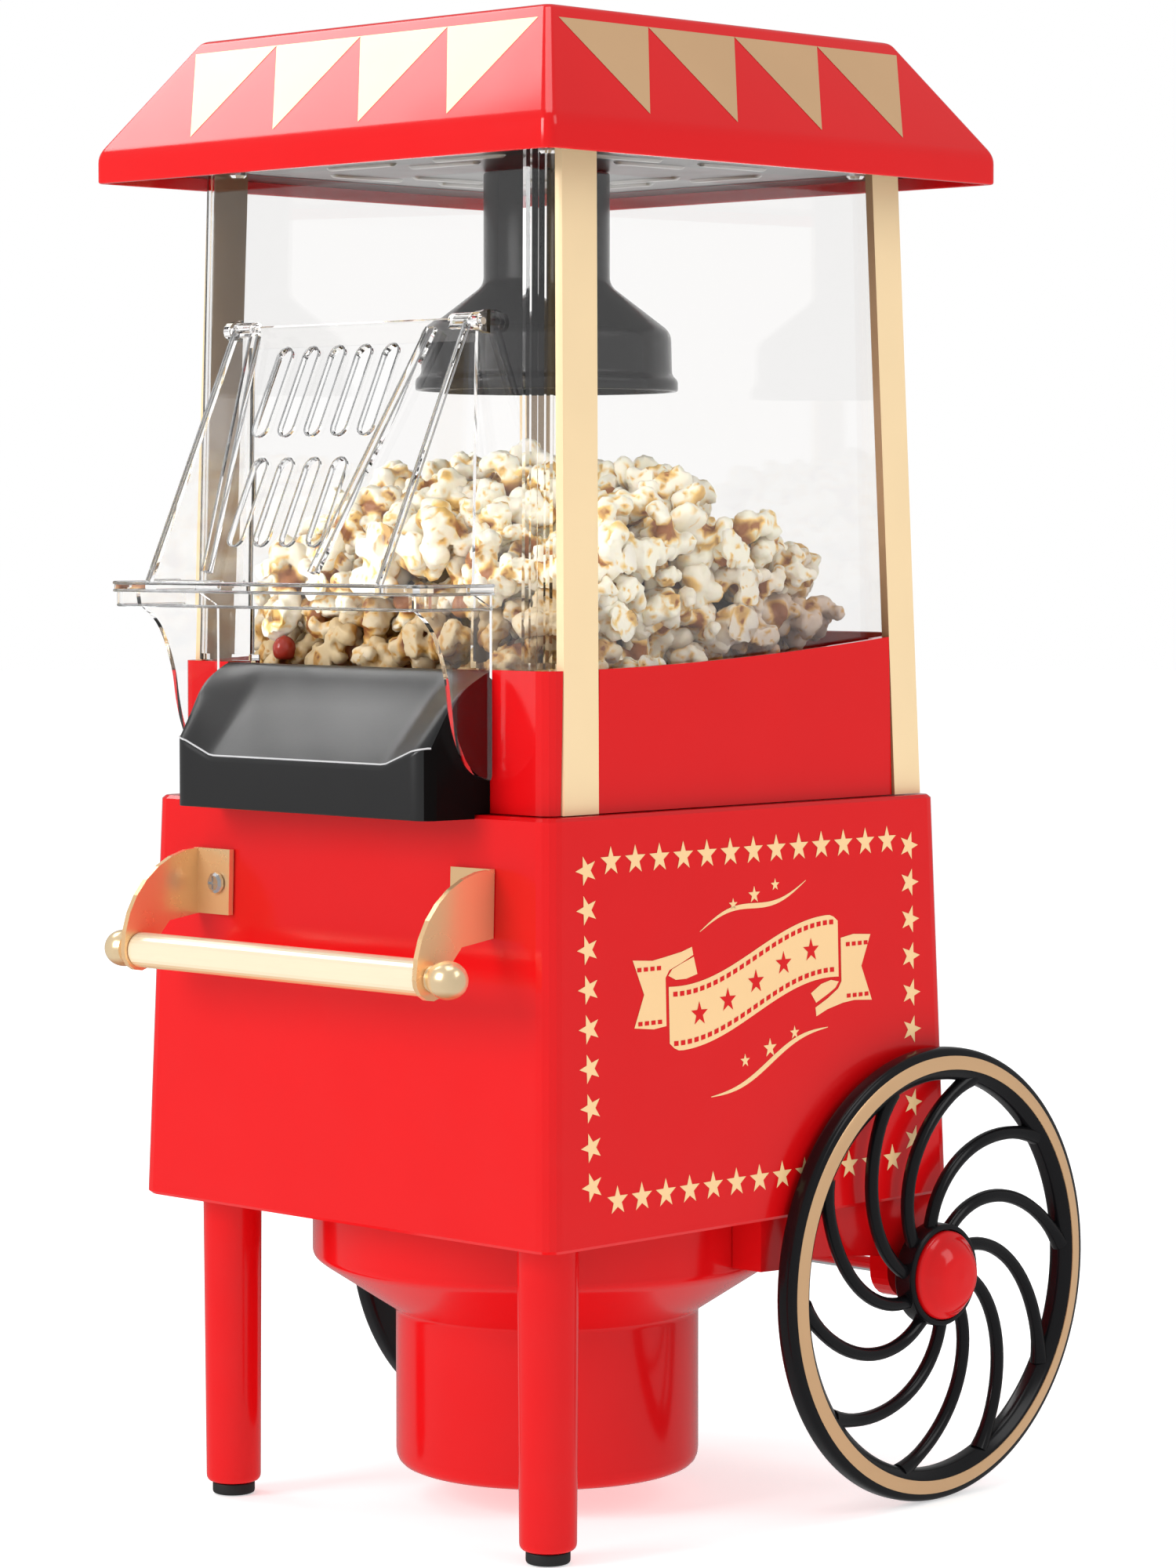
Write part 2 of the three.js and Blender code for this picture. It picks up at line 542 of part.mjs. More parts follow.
function hood() {
  const { half, shell } = DOOR;
  const under = LEDGE.topZ - LEDGE.plate;
  const sheet = [onFace(0, 0), onFace(faceLength, 0), onFace(faceLength, -shell), onFace(0, -shell)];
  const face = prismX(sheet, -half, half);
  const cheek = [
    onFace(0, -0.5), onFace(faceLength - 1, -0.5), [DOOR.bottomY + 2, under + 0.7], [-90.4, under + 0.7],
    [-88.5, DOOR.topZ - 1],
  ];
  const sweep = new THREE.SplineCurve([
    [-127, 311.8], [-120.5, 306.5], [-116.4, 299.5], [-113, 289.5], [-111.4, 280], [-109, 271], [-105, 263],
    [-100, 258.5], [-94, 256.5],
  ].map(([y, z]) => new THREE.Vector2(y, z)));
  const skirt = [
    [-128, under + 0.9], ...sweep.getPoints(SKIRT.steps).map(({ x, y }) => [x, y]),
    [-93.4, 258], [-93.4, 311.8], [-104, under + 0.9],
  ];
  const plates = sides.flatMap(([, side]) => [
    prismX(cheek, ...ordered(side * (half - shell), side * half)),
    prismX(skirt, ...ordered(side * SKIRT.inner, side * SKIRT.outer)),
  ]);
  const barrels = sides.map(([, side]) => (
    rodX(HINGE.barrel, ...ordered(side * HINGE.barrelInner, side * (half + 0.7)), HINGE.y, HINGE.z, 16)
  ));
  const pinBores = sides.map(([, side]) => (
    rodX(HINGE.bore, ...ordered(side * (HINGE.pinInner - 0.6), side * (half + 2)), HINGE.y, HINGE.z, 12)
  ));
  const slots = SLOT.rows.flatMap(([count, from, to]) => slotRow(count, from, to));
  return join(cut(join(face, ...plates, ...barrels, ledge()), ...pinBores, ...slots), rib(1), rib(-1));
}

// Six-sided bar between two quadrilateral ends.
function hexahedron(first, second) {
  const geometry = new THREE.BufferGeometry();
  geometry.setAttribute('position', new THREE.Float32BufferAttribute([...first, ...second].flat(), 3));
  const faces = [[0, 1, 2, 3], [4, 7, 6, 5], [0, 4, 5, 1], [1, 5, 6, 2], [2, 6, 7, 3], [3, 7, 4, 0]];
  geometry.setIndex(faces.flatMap(([a, b, c, d]) => [a, b, c, a, c, d]));
  return solid(geometry);
}

add('chute_hood', hood(), CLEAR, GLASSY);
sides.forEach(([sideName, side]) => {
  const span = ordered(side * HINGE.pinInner, side * HINGE.pinOuter);
  add(`hinge_pin_${sideName}`, rodX(HINGE.pin, ...span, HINGE.y, HINGE.z, 12), STEEL, METAL);
});

// ---------------------------------------------------------------- roof, ceiling and bell
const corners = [[1, 1], [-1, 1], [-1, -1], [1, -1]];
const roofBosses = corners.map(([sx, sy]) => [sx * ROOF_BOSS.at, sy * ROOF_BOSS.at]);
const ceilingTop = CEILING.bottomZ + CEILING.thick;

// The roof and all that lifts off with it.
const lid = new THREE.Group();
machine.add(lid);

function roofShell() {
  const { half, eaveZ, fasciaTopZ, plateauHalf, corner } = ROOF;
  const edge = 1.2;
  const outer = loft([
    { z: eaveZ, points: squareRing(half, corner) },
    { z: fasciaTopZ - edge, points: squareRing(half, corner) },
    { z: fasciaTopZ, points: squareRing(half - edge, corner) },
    { z: HEIGHT - edge, points: squareRing(plateauHalf, corner) },
    { z: HEIGHT, points: squareRing(plateauHalf - edge * 1.6, corner) },
  ]);
  const inner = loft([
    { z: eaveZ - 1, points: squareRing(half - WALL, corner - 1) },
    { z: fasciaTopZ - edge, points: squareRing(half - WALL, corner - 1) },
    { z: HEIGHT - WALL, points: squareRing(plateauHalf - WALL, corner - 1) },
  ]);
  const bosses = roofBosses.map(([x, y]) => (
    disc(ROOF_BOSS.radius, ceilingTop + GAP, HEIGHT - 1.2, 12).translate([x, y, 0])
  ));
  const boreTop = ceilingTop + ROOF_BOSS.boreDepth;
  const bores = roofBosses.map(([x, y]) => (
    disc(ROOF_BOSS.bore, ceilingTop - PAST, boreTop, SMALL_HOLE_SIDES).translate([x, y, 0])
  ));
  return cut(join(cut(outer, inner), ...bosses), ...bores);
}

function ceilingPlate() {
  const plate = loft([
    { z: CEILING.bottomZ, points: squareRing(CEILING.half, 3) },
    { z: ceilingTop, points: squareRing(CEILING.half, 3) },
  ]);
  const hole = (radius, x, y) => (
    disc(radius, CEILING.bottomZ - PAST, ceilingTop + PAST, SMALL_HOLE_SIDES).translate([x, y, 0])
  );
  const screwHoles = roofBosses.map(([x, y]) => hole(BASE_PLATE.screwHole, x, y));
  return cut(plate, hole(BELL.boltHole, 0, 0), ...screwHoles);
}

function bell() {
  const { neck, body, lip, shell, cap, boltHole, neckZ, shoulderZ, lipZ, bottomZ } = BELL;
  const top = CEILING.bottomZ - GAP;
  const shape = turned([
    [0, top], [neck, top], [neck, neckZ], [body, shoulderZ], [body, lipZ + 1.5], [lip, lipZ], [lip, bottomZ],
    [body - shell, bottomZ], [body - shell, shoulderZ - 0.6], [neck - shell, neckZ - 0.8],
    [neck - shell, top - cap], [0, top - cap],
  ], 36);
  return cut(shape, disc(boltHole, top - 2 * cap, top + PAST, 12));
}

add('roof_shell', roofShell(), RED, {}, lid);
add('ceiling_plate', ceilingPlate(), STEEL, { roughness: 0.4, metalness: 0.7 }, lid);
add('bell', bell(), BLACK, { roughness: 0.3 }, lid);
const bellBolt = add('bell_bolt', screw(4.4, 3, 2.05, 14), STEEL, METAL, lid);
bellBolt.position.z = ceilingTop + GAP + 3;
bellBolt.rotation.x = HALF_TURN;
roofBosses.forEach(([x, y], i) => {
  const roofScrew = add(`roof_screw_${i + 1}`, screw(3.2, 2, 1.4, 15), STEEL, METAL, lid);
  roofScrew.position.set(x, y, CEILING.bottomZ - 2 - GAP);
});

// ---------------------------------------------------------------- hot-air popper inside the base
// Copies of a body evenly round Z, the first turned by a part of the pitch.
function around(count, body, phase = 0) {
  return Array.from({ length: count }, (_, i) => body.rotate([0, 0, (360 * (i + phase)) / count]));
}

function cup() {
  const { radius, shell, bottomZ, flange, flangeZ } = CUP;
  const shape = turned([
    [0, bottomZ], [radius - 4, bottomZ], [radius, bottomZ + 4], [radius, flangeZ], [flange, flangeZ],
    [flange, flangeZ + shell], [radius - shell, flangeZ + shell], [radius - shell, bottomZ + 4.5],
    [radius - 4.5, bottomZ + shell], [0, bottomZ + shell],
  ], 36);
  const { count, half, aboveFloor, height } = CUP_VENTS;
  const ventZ = bottomZ + aboveFloor;
  const vent = box(radius - 8, radius + 4, -half, half, ventZ, ventZ + height);
  return cut(shape, ...around(count, vent));
}

function airDuct() {
  const { radius, shell, bottomZ, topZ, flange, flangeThick } = DUCT;
  const seatZ = PLATE_TOP_Z + GAP;
  return turned([
    [radius - shell, bottomZ], [radius, bottomZ], [radius, seatZ], [flange, seatZ],
    [flange, seatZ + flangeThick], [radius, seatZ + flangeThick], [radius, topZ],
    [radius - shell, topZ], [radius - shell, bottomZ],
  ], 36);
}

// Mica carrier: a ring on four fins that keeps the heating wire off the duct.
function heaterFrame() {
  const { inner, bottomZ, topZ, finInner, finOuter, finTopZ } = MICA_RING;
  const base = tube(inner, DUCT.radius - DUCT.shell - GAP, bottomZ, topZ, 36);
  return join(base, ...around(4, box(finInner, finOuter, -1, 1, topZ - 1, finTopZ)));
}

class WavyRing extends THREE.Curve {
  getPoint(t, target = new THREE.Vector3()) {
    const angle = t * 2 * Math.PI;
    const radius = HEATER.radius + HEATER.wave * Math.cos(HEATER.lobes * angle);
    return target.set(radius * Math.cos(angle), radius * Math.sin(angle), HEATER.z);
  }
}

function heaterCoil() {
  const section = new THREE.Shape();
  section.absarc(0, 0, HEATER.wire, 0, 2 * Math.PI);
  const points = new WavyRing().getSpacedPoints(HEATER.lobes * 6).slice(0, -1);
  const path = new THREE.CatmullRomCurve3(points, true);
  const options = { steps: HEATER.lobes * 6, extrudePath: path, curveSegments: 3, bevelEnabled: false };
  return solid(new THREE.ExtrudeGeometry(section, options));
}

// Four-armed carrier that hangs the motor in the middle of the duct.
function motorBracket() {
  const inner = DUCT.radius - DUCT.shell - GAP;
  const bottomZ = MOTOR.topZ + GAP;
  const plate = disc(inner, bottomZ, bottomZ + 2.2, 36);
  const window = disc(13, bottomZ - PAST, bottomZ + 4, 16).translate([30, 0, 0]);
  return cut(plate, ...around(4, window, 0.5), disc(4, bottomZ - PAST, bottomZ + 4, 12));
}

function motor() {
  const { radius, bottomZ, topZ, bore } = MOTOR;
  return turned([
    [bore, bottomZ], [5, bottomZ], [5, bottomZ + 2.5], [radius - 1.5, bottomZ + 2.5], [radius, bottomZ + 4],
    [radius, topZ - 1.5], [radius - 1.5, topZ], [0, topZ], [0, bottomZ + 9], [bore, bottomZ + 9],
    [bore, bottomZ],
  ], 24);
}

function fan() {
  const { hub, bore, tip, bottomZ, height, blades, pitch } = FAN;
  const middle = bottomZ + height / 2;
  const cap = turned([
    [bore, bottomZ], [hub, bottomZ], [hub, bottomZ + height - 2], [hub - 2, bottomZ + height],
    [bore, bottomZ + height], [bore, bottomZ],
  ], 24);
  const blade = box(hub - 1.5, tip, -8.4, 8.4, -0.8, 0.8).rotate([pitch, 0, 0]).translate([0, 0, middle]);
  return join(cap, ...around(blades, blade));
}

add('popping_cup', cup(), ALUMINIUM, METAL);
add('air_duct', airDuct(), STEEL, METAL);
add('heater_frame', heaterFrame(), MICA, { roughness: 0.7 });
add('heater_coil', heaterCoil(), STEEL, METAL);
add('thermostat', join(disc(9, 149.6, 155, 20), disc(6, 154, CUP.bottomZ - GAP, 20)), MICA, { roughness: 0.6 });
const thermalFuse = add('thermal_fuse', disc(2, 0, 14, 12), ALUMINIUM, METAL);
thermalFuse.position.set(-7, -17, 154);
thermalFuse.rotation.y = QUARTER;
add('motor_bracket', motorBracket(), STEEL, METAL);
add('motor', motor(), STEEL, METAL);

const rotor = new THREE.Group();
machine.add(rotor);
add('motor_shaft', disc(MOTOR.shaft, FAN.bottomZ - 1, MOTOR.bottomZ + 8, 24), STEEL, METAL, rotor);
add('fan', fan(), BLACK, { roughness: 0.5 }, rotor);

// ---------------------------------------------------------------- underside
function underCover() {
  const { collar, cylinder, bottomZ, cylinderZ, coneZ, shell } = COVER;
  const top = BASE.bottomZ;
  const shape = turned([
    [0, bottomZ], [cylinder - 3.5, bottomZ], [cylinder - 1, bottomZ + 1], [cylinder, bottomZ + 3.5],
    [cylinder, cylinderZ], [collar - 1.5, coneZ], [collar, coneZ + 1.8], [collar, top],
    [collar - shell, top], [collar - shell, coneZ + 2.6], [collar - 2.8, coneZ + 1.8],
    [cylinder - shell, cylinderZ + 1], [cylinder - shell, bottomZ + 4], [cylinder - 4.2, bottomZ + shell],
    [0, bottomZ + shell],
  ], 40);
  const slot = box(INTAKE.inner, INTAKE.outer, -INTAKE.half, INTAKE.half, bottomZ - PAST, bottomZ + 4);
  return cut(shape, ...around(INTAKE.count, slot, 0.5));
}

function leg() {
  const { top, bottom, bottomZ, bore, screwDepth } = LEG;
  const shape = turned([
    [0, bottomZ], [bottom - 1.8, bottomZ], [bottom, bottomZ + 1.8], [top, BASE.bottomZ], [0, BASE.bottomZ],
  ], 24);
  return cut(
    shape,
    disc(bore, bottomZ - PAST, FOOT.stemTopZ + 1, 12),
    disc(BOSS.bore, BASE.bottomZ - screwDepth, BASE.bottomZ + PAST, SMALL_HOLE_SIDES),
  );
}

function foot() {
  const { radius, stem, stemTopZ, topZ } = FOOT;
  return turned([
    [0, 0], [radius - 1, 0], [radius, 1], [radius, topZ], [stem, topZ], [stem, stemTopZ], [0, stemTopZ],
  ], 20);
}

function axleCarrier() {
  const { halfX, frontY, rearY, collarHole, topZ, bottomZ } = CARRIER;
  const profile = [
    [frontY, topZ], [frontY, bottomZ + 1.6], [16, bottomZ + 1.2], [33, bottomZ + 3.6], [48, bottomZ + 2.4],
    [68, bottomZ], [rearY, bottomZ], [rearY, topZ],
  ];
  const beam = cut(prismX(profile, -halfX, halfX), disc(collarHole, bottomZ - 10, topZ + 1, 40));
  const lugs = sides.map(([, side]) => {
    const [x0, x1] = ordered(side * LUG.inner, side * LUG.outer);
    return join(
      rodX(LUG.radius, x0, x1, WHEEL.y, WHEEL.radius, 24),
      box(x0, x1, WHEEL.y - LUG.radius, WHEEL.y + LUG.radius, WHEEL.radius, bottomZ + 1.5),
    );
  });
  const seats = BOSSES.filter(([, y]) => y > 0).map(([x, y]) => join(
    disc(CARRIER_SEAT.radius, bottomZ - 5, CARRIER_SEAT.z, 16),
    disc(BASE_PLATE.screwHole, CARRIER_SEAT.z - PAST, topZ + PAST, SMALL_HOLE_SIDES),
  ).translate([x, y, 0]));
  const axleBore = rodX(AXLE.bore, -halfX - PAST, halfX + PAST, WHEEL.y, WHEEL.radius, 24);
  return cut(join(beam, ...lugs), ...seats, axleBore);
}

add('under_cover', underCover(), RED);
sides.forEach(([sideName, side]) => {
  const support = new THREE.Group();
  support.position.set(side * LEG.x, LEG.y, 0);
  machine.add(support);
  add(`leg_${sideName}`, leg(), RED, {}, support);
  add(`foot_${sideName}`, foot(), BLACK, RUBBERY, support);
  const legScrew = add(`leg_screw_${sideName}`, screw(3.2, 2, 1.4, 15), STEEL, METAL, support);
  legScrew.position.z = PLATE_TOP_Z + GAP + 2;
  legScrew.rotation.x = HALF_TURN;
});
add('axle_carrier', axleCarrier(), RED);
add('axle', rodX(AXLE.radius, -AXLE.halfLength, AXLE.halfLength, WHEEL.y, WHEEL.radius, 24), STEEL, METAL);

// ---------------------------------------------------------------- wheels
// One wheel about Z, its outer face towards +Z, its middle at the axle's end of travel.
function rimAndHub() {
  const { radius, faceX, innerRim } = WHEEL;
  const back = faceX - 7.5;
  const rim = turned([
    [radius - 1.4, back], [radius, back + 1.3], [radius, faceX - 1.8], [radius - 2.6, faceX],
    [radius - 7.7, faceX + 1.1], [innerRim, faceX - 2.2], [innerRim, back + 1.4], [radius - 1.4, back],
  ], 40);
  const { ring: hubRing, barrel, innerX, ringX, outerX, recess, recessX } = HUB;
  const hub = turned([
    [AXLE.bore, innerX], [barrel, innerX], [barrel, ringX], [hubRing, ringX], [hubRing, outerX],
    [recess, outerX], [recess, recessX], [AXLE.bore, recessX], [AXLE.bore, innerX],
  ], 20);
  return [rim, hub];
}

class SpokePath extends THREE.Curve {
  getPoint(t, target = new THREE.Vector3()) {
    const { turnPerMm, firstEnd, innerRadius, outerRadius } = SPIRAL;
    const radius = lerp(innerRadius, outerRadius, t);
    const angle = radians(firstEnd + turnPerMm * (outerRadius - radius));
    return target.set(radius * Math.cos(angle), radius * Math.sin(angle), WHEEL.faceX - 3.4);
  }
}

function wheel() {
  const [rim, hub] = rimAndHub();
  const section = new THREE.Shape();
  section.absarc(0, 0, WHEEL.spokeRadius, 0, 2 * Math.PI);
  const options = { steps: SPIRAL.steps, extrudePath: new SpokePath(), curveSegments: 3, bevelEnabled: false };
  const spoke = solid(new THREE.ExtrudeGeometry(section, options));
  return join(rim, hub, ...around(WHEEL.spokes, spoke));
}

function hubCap() {
  const { radius, rim, chamfer, dome, rise, steps } = HUB_CAP;
  const baseX = HUB.outerX + GAP;
  const shoulderX = baseX + rim + chamfer;
  const outline = [[0, baseX], [radius, baseX], [radius, baseX + rim], [radius - chamfer, shoulderX]];
  for (let i = 0; i <= steps; i += 1) {
    const angle = (i / steps) * QUARTER;
    outline.push([dome * Math.cos(angle), shoulderX + rise * Math.sin(angle)]);
  }
  return turned(outline, 28);
}

sides.forEach(([sideName, side]) => {
  const spinner = new THREE.Group();
  spinner.position.set(0, WHEEL.y, WHEEL.radius);
  spinner.rotation.y = side * QUARTER;
  machine.add(spinner);
  add(`wheel_${sideName}`, wheel(), BLACK, { roughness: 0.25 }, spinner);
  add(`hub_cap_${sideName}`, hubCap(), RED, { roughness: 0.25 }, spinner);
  const nut = tube(AXLE.radius + GAP, 5.6, HUB.recessX + GAP, HUB.recessX + 1.9, 16);
  add(`push_nut_${sideName}`, nut, STEEL, METAL, spinner);
});

// ---------------------------------------------------------------- push handle
function handleBracket() {
  const { y, z, bar, plateX, plate, neckBore } = HANDLE;
  const wallY = (height) => {
    const t = (BASE.topZ - height) / (BASE.topZ - BASE.bottomZ);
    return -lerp(BASE.topHalf, BASE.bottomHalf, t) - GAP;
  };
  const reach = wallY(TAB.bottomZ);
  const eye = bar + 1.2;
  // Quarter of an ellipse from the top of the tab to the front of the bar's end.
  const depth = reach - y + eye;
  const outer = arc(0, 0, 1, 90, 180, 8).map(([along, up]) => [reach + along * depth, z + up * (TAB.topZ - z)]);
  const cheek = [
    [wallY(TAB.topZ), TAB.topZ], ...outer.slice(1), ...arc(y, z, eye, 200, 350, 6),
    [y + eye + 1, z + 4], [y + 13, z + 9.2], [wallY(TAB.bottomZ), TAB.bottomZ],
  ];
  const [inner, far] = [plateX, plateX + plate];
  const tabOutline = [
    [wallY(TAB.topZ), TAB.topZ], [wallY(TAB.topZ) - plate, TAB.topZ],
    [wallY(TAB.bottomZ) - plate, TAB.bottomZ], [wallY(TAB.bottomZ), TAB.bottomZ],
  ];
  const tab = prismX(tabOutline, TAB.inner, far);
  return cut(
    join(prismX(cheek, inner, far), tab),
    frontHole(TAB.screwX),
    rodX(neckBore, inner - PAST, far + PAST, y, z, 16),
  );
}

const bracket = handleBracket();
sides.forEach(([sideName, side]) => {
  const piece = side > 0 ? bracket : mirrorX(bracket);
  add(`handle_bracket_${sideName}`, piece, BRASS, METAL);
  const tabScrew = add(`handle_screw_${sideName}`, screw(3.6, 2, 1.5, 9), STEEL, METAL);
  tabScrew.position.set(side * TAB.screwX, -BASE.topHalf - HANDLE.plate - 3.5, TAB.screwZ);
  tabScrew.rotation.x = -QUARTER;
  const ball = new THREE.SphereGeometry(HANDLE.ball, 16, 10);
  const knob = join(solid(ball), disc(HANDLE.neck, HANDLE.neckEnd - HANDLE.ballX, 0, 12));
  const knobMesh = add(`handle_ball_${sideName}`, knob, BRASS, METAL);
  knobMesh.position.set(side * HANDLE.ballX, HANDLE.y, HANDLE.z);
  knobMesh.rotation.y = side * QUARTER;
});
const barEnd = HANDLE.plateX - GAP;
const barBores = sides.map(([, side]) => {
  const span = ordered(side * (HANDLE.neckEnd - 1), side * (HANDLE.plateX + PAST));
  return rodX(HANDLE.neckBore, ...span, HANDLE.y, HANDLE.z, 16);
});
add('handle_bar', cut(rodX(HANDLE.bar, -barEnd, barEnd, HANDLE.y, HANDLE.z, 28), ...barBores), BRASS, METAL);

// ---------------------------------------------------------------- power switch and cord inlet at the rear
// Outer face of the rear wall at a height.
function rearFace(z) {
  return lerp(BASE.topHalf, BASE.bottomHalf, (BASE.topZ - z) / (BASE.topZ - BASE.bottomZ));
}

const wallLean = Math.atan2(BASE.bottomHalf - BASE.topHalf, BASE.topZ - BASE.bottomZ);

function switchHousing() {
  const { halfX, halfZ, rim } = SWITCH;
  const bezel = box(-halfX - rim, halfX + rim, GAP, 2, -halfZ - rim, halfZ + rim);
  const can = box(-halfX + GAP, halfX - GAP, -15, GAP + 0.5, -halfZ + GAP, halfZ - GAP);
  const well = box(-ROCKER.halfX - 0.5, ROCKER.halfX + 0.5, -6.5, 3, -halfZ + 1.2, halfZ - 1.2);
  const pivots = rodX(ROCKER.axle + 0.06, -ROCKER.halfX - 1.6, ROCKER.halfX + 1.6, -ROCKER.pivotIn + 1, 0, 12);
  return cut(join(bezel, can), well, pivots);
}

function rocker() {
  const { halfX, reach, axle, pivotIn } = ROCKER;
  const pivotY = 1 - pivotIn;
  const outline = [[pivotY - 1.9, -2], [3.4, -reach], [2.3, 0], [3.4, reach], [pivotY - 1.9, 2]];
  const body = join(prismX(outline, -halfX, halfX), rodX(axle, -halfX - 1.3, halfX + 1.3, pivotY, 0, 12));
  return body.translate([0, -pivotY, 0]);
}

const switchGroup = new THREE.Group();
switchGroup.position.set(SWITCH.x, rearFace(SWITCH.z), SWITCH.z);
switchGroup.rotation.x = wallLean;
machine.add(switchGroup);
add('switch_housing', switchHousing(), BLACK, { roughness: 0.5 }, switchGroup);
const rockerMesh = add('switch_rocker', rocker(), BLACK, { roughness: 0.35 }, switchGroup);
rockerMesh.position.y = 1 - ROCKER.pivotIn;
rockerMesh.rotation.x = radians(ROCKER.tilt);

function inletBushing() {
  const { radius, flange, bore } = INLET;
  const [inside, faceOut] = [-6, 3];
  return turned([
    [bore, inside], [radius, inside], [radius, GAP], [flange, GAP], [flange, faceOut - 1.2],
    [flange - 1.2, faceOut], [bore + 0.6, faceOut], [bore, faceOut - 0.6], [bore, inside],
  ], 20);
}

const inlet = add('cord_inlet', inletBushing(), BLACK, RUBBERY);
inlet.position.set(INLET.x, rearFace(INLET.z), INLET.z);
inlet.rotation.x = -QUARTER + wallLean;

// ---------------------------------------------------------------- origin: middle of the footprint
machine.position.y = -(LEDGE.frontY + WHEEL.y + WHEEL.radius) / 2;

export default machine;
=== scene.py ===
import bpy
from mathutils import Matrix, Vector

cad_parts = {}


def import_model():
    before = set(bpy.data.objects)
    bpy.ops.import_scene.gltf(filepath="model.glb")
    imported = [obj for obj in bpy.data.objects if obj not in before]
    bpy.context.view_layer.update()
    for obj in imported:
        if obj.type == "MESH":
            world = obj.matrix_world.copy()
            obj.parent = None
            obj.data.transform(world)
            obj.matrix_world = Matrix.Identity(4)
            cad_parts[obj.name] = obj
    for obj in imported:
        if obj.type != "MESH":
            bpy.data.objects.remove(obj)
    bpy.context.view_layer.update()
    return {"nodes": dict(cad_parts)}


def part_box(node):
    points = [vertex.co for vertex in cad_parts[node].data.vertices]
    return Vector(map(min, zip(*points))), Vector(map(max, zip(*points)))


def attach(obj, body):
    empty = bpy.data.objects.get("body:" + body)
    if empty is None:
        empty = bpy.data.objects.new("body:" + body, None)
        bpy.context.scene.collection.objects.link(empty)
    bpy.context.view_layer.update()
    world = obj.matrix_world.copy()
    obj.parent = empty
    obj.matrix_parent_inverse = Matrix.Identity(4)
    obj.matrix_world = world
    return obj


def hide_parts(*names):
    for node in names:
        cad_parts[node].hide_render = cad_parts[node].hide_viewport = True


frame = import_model()

import itertools
import math
import random

import bpy
from mathutils import Matrix, Vector, noise

# Shapes below are written in millimetres about the cart's own axis (x = 0, y = 0), z up from the floor.
MM = 0.001
BODY_LOW, BODY_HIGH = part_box("base_body")
AXIS_Y = (BODY_LOW.y + BODY_HIGH.y) / 2
COLLECTION = bpy.context.scene.collection


def world(x, y, z):
    return (x * MM, y * MM + AXIS_Y, z * MM)


def lerp(a, b, t):
    return a + (b - a) * t


def srgb(red, green, blue):
    """Linear colour from 0-255 display values."""
    linear = []
    for value in (red, green, blue):
        v = value / 255
        linear.append(v / 12.92 if v <= 0.04045 else ((v + 0.055) / 1.055) ** 2.4)
    return (*linear, 1.0)


# ---------------------------------------------------------------- materials
# Sockets of a colour mix node, whose names are shared with its other data types.
MIX_A, MIX_B, MIX_RESULT = 6, 7, 2


def multiply_node(tree):
    """Node that multiplies colour A by colour B."""
    node = tree.nodes.new("ShaderNodeMix")
    node.data_type = "RGBA"
    node.blend_type = "MULTIPLY"
    node.inputs["Factor"].default_value = 1.0
    return node


def principled(mat):
    return next(node for node in mat.node_tree.nodes if node.type == "BSDF_PRINCIPLED")


def material(name, color, rough=0.3, metallic=0.0, specular=0.5, transmission=0.0, ior=1.5,
             shade=0.04, shade_scale=25, rough_spread=0.05, rough_scale=60,
             grain=0.0, grain_scale=900, tilt=0.0, tilt_scale=12, stretch=(1, 1, 1)):
    """Principled surface whose colour, roughness and relief vary a little over the object."""
    mat = bpy.data.materials.new(name)
    mat.use_nodes = True
    tree = mat.node_tree
    tree.nodes.clear()
    new = tree.nodes.new
    link = tree.links.new
    out = new("ShaderNodeOutputMaterial")
    shader = new("ShaderNodeBsdfPrincipled")
    link(shader.outputs[0], out.inputs[0])
    shader.inputs["Metallic"].default_value = metallic
    shader.inputs["Specular IOR Level"].default_value = specular
    shader.inputs["IOR"].default_value = ior
    shader.inputs["Transmission Weight"].default_value = transmission
    shader.inputs["Base Color"].default_value = color
    place = new("ShaderNodeTexCoord")
    scaled = new("ShaderNodeMapping")
    scaled.inputs["Scale"].default_value = stretch
    link(place.outputs["Object"], scaled.inputs["Vector"])

    def noise_at(scale, detail=3.0):
        node = new("ShaderNodeTexNoise")
        node.inputs["Scale"].default_value = scale
        node.inputs["Detail"].default_value = detail
        link(scaled.outputs[0], node.inputs["Vector"])
        return node.outputs["Fac"]

    if shade:
        ramp = new("ShaderNodeMapRange")
        ramp.inputs["To Min"].default_value = 1 - shade
        ramp.inputs["To Max"].default_value = 1 + shade
        link(noise_at(shade_scale), ramp.inputs["Value"])
        tint = multiply_node(tree)
        tint.inputs[MIX_A].default_value = color
        link(ramp.outputs[0], tint.inputs[MIX_B])
        link(tint.outputs[MIX_RESULT], shader.inputs["Base Color"])
    ramp = new("ShaderNodeMapRange")
    ramp.inputs["To Min"].default_value = max(0.0, rough - rough_spread)
    ramp.inputs["To Max"].default_value = rough + rough_spread
    link(noise_at(rough_scale, 5.0), ramp.inputs["Value"])
    link(ramp.outputs[0], shader.inputs["Roughness"])
    normal = None
    for strength, scale in ((tilt, tilt_scale), (grain, grain_scale)):
        if not strength:
            continue
        bump = new("ShaderNodeBump")
        bump.inputs["Strength"].default_value = 1.0
        bump.inputs["Distance"].default_value = strength * MM
        link(noise_at(scale, 2.0), bump.inputs["Height"])
        if normal:
            link(normal, bump.inputs["Normal"])
        normal = bump.outputs[0]
    if normal:
        link(normal, shader.inputs["Normal"])
    return mat


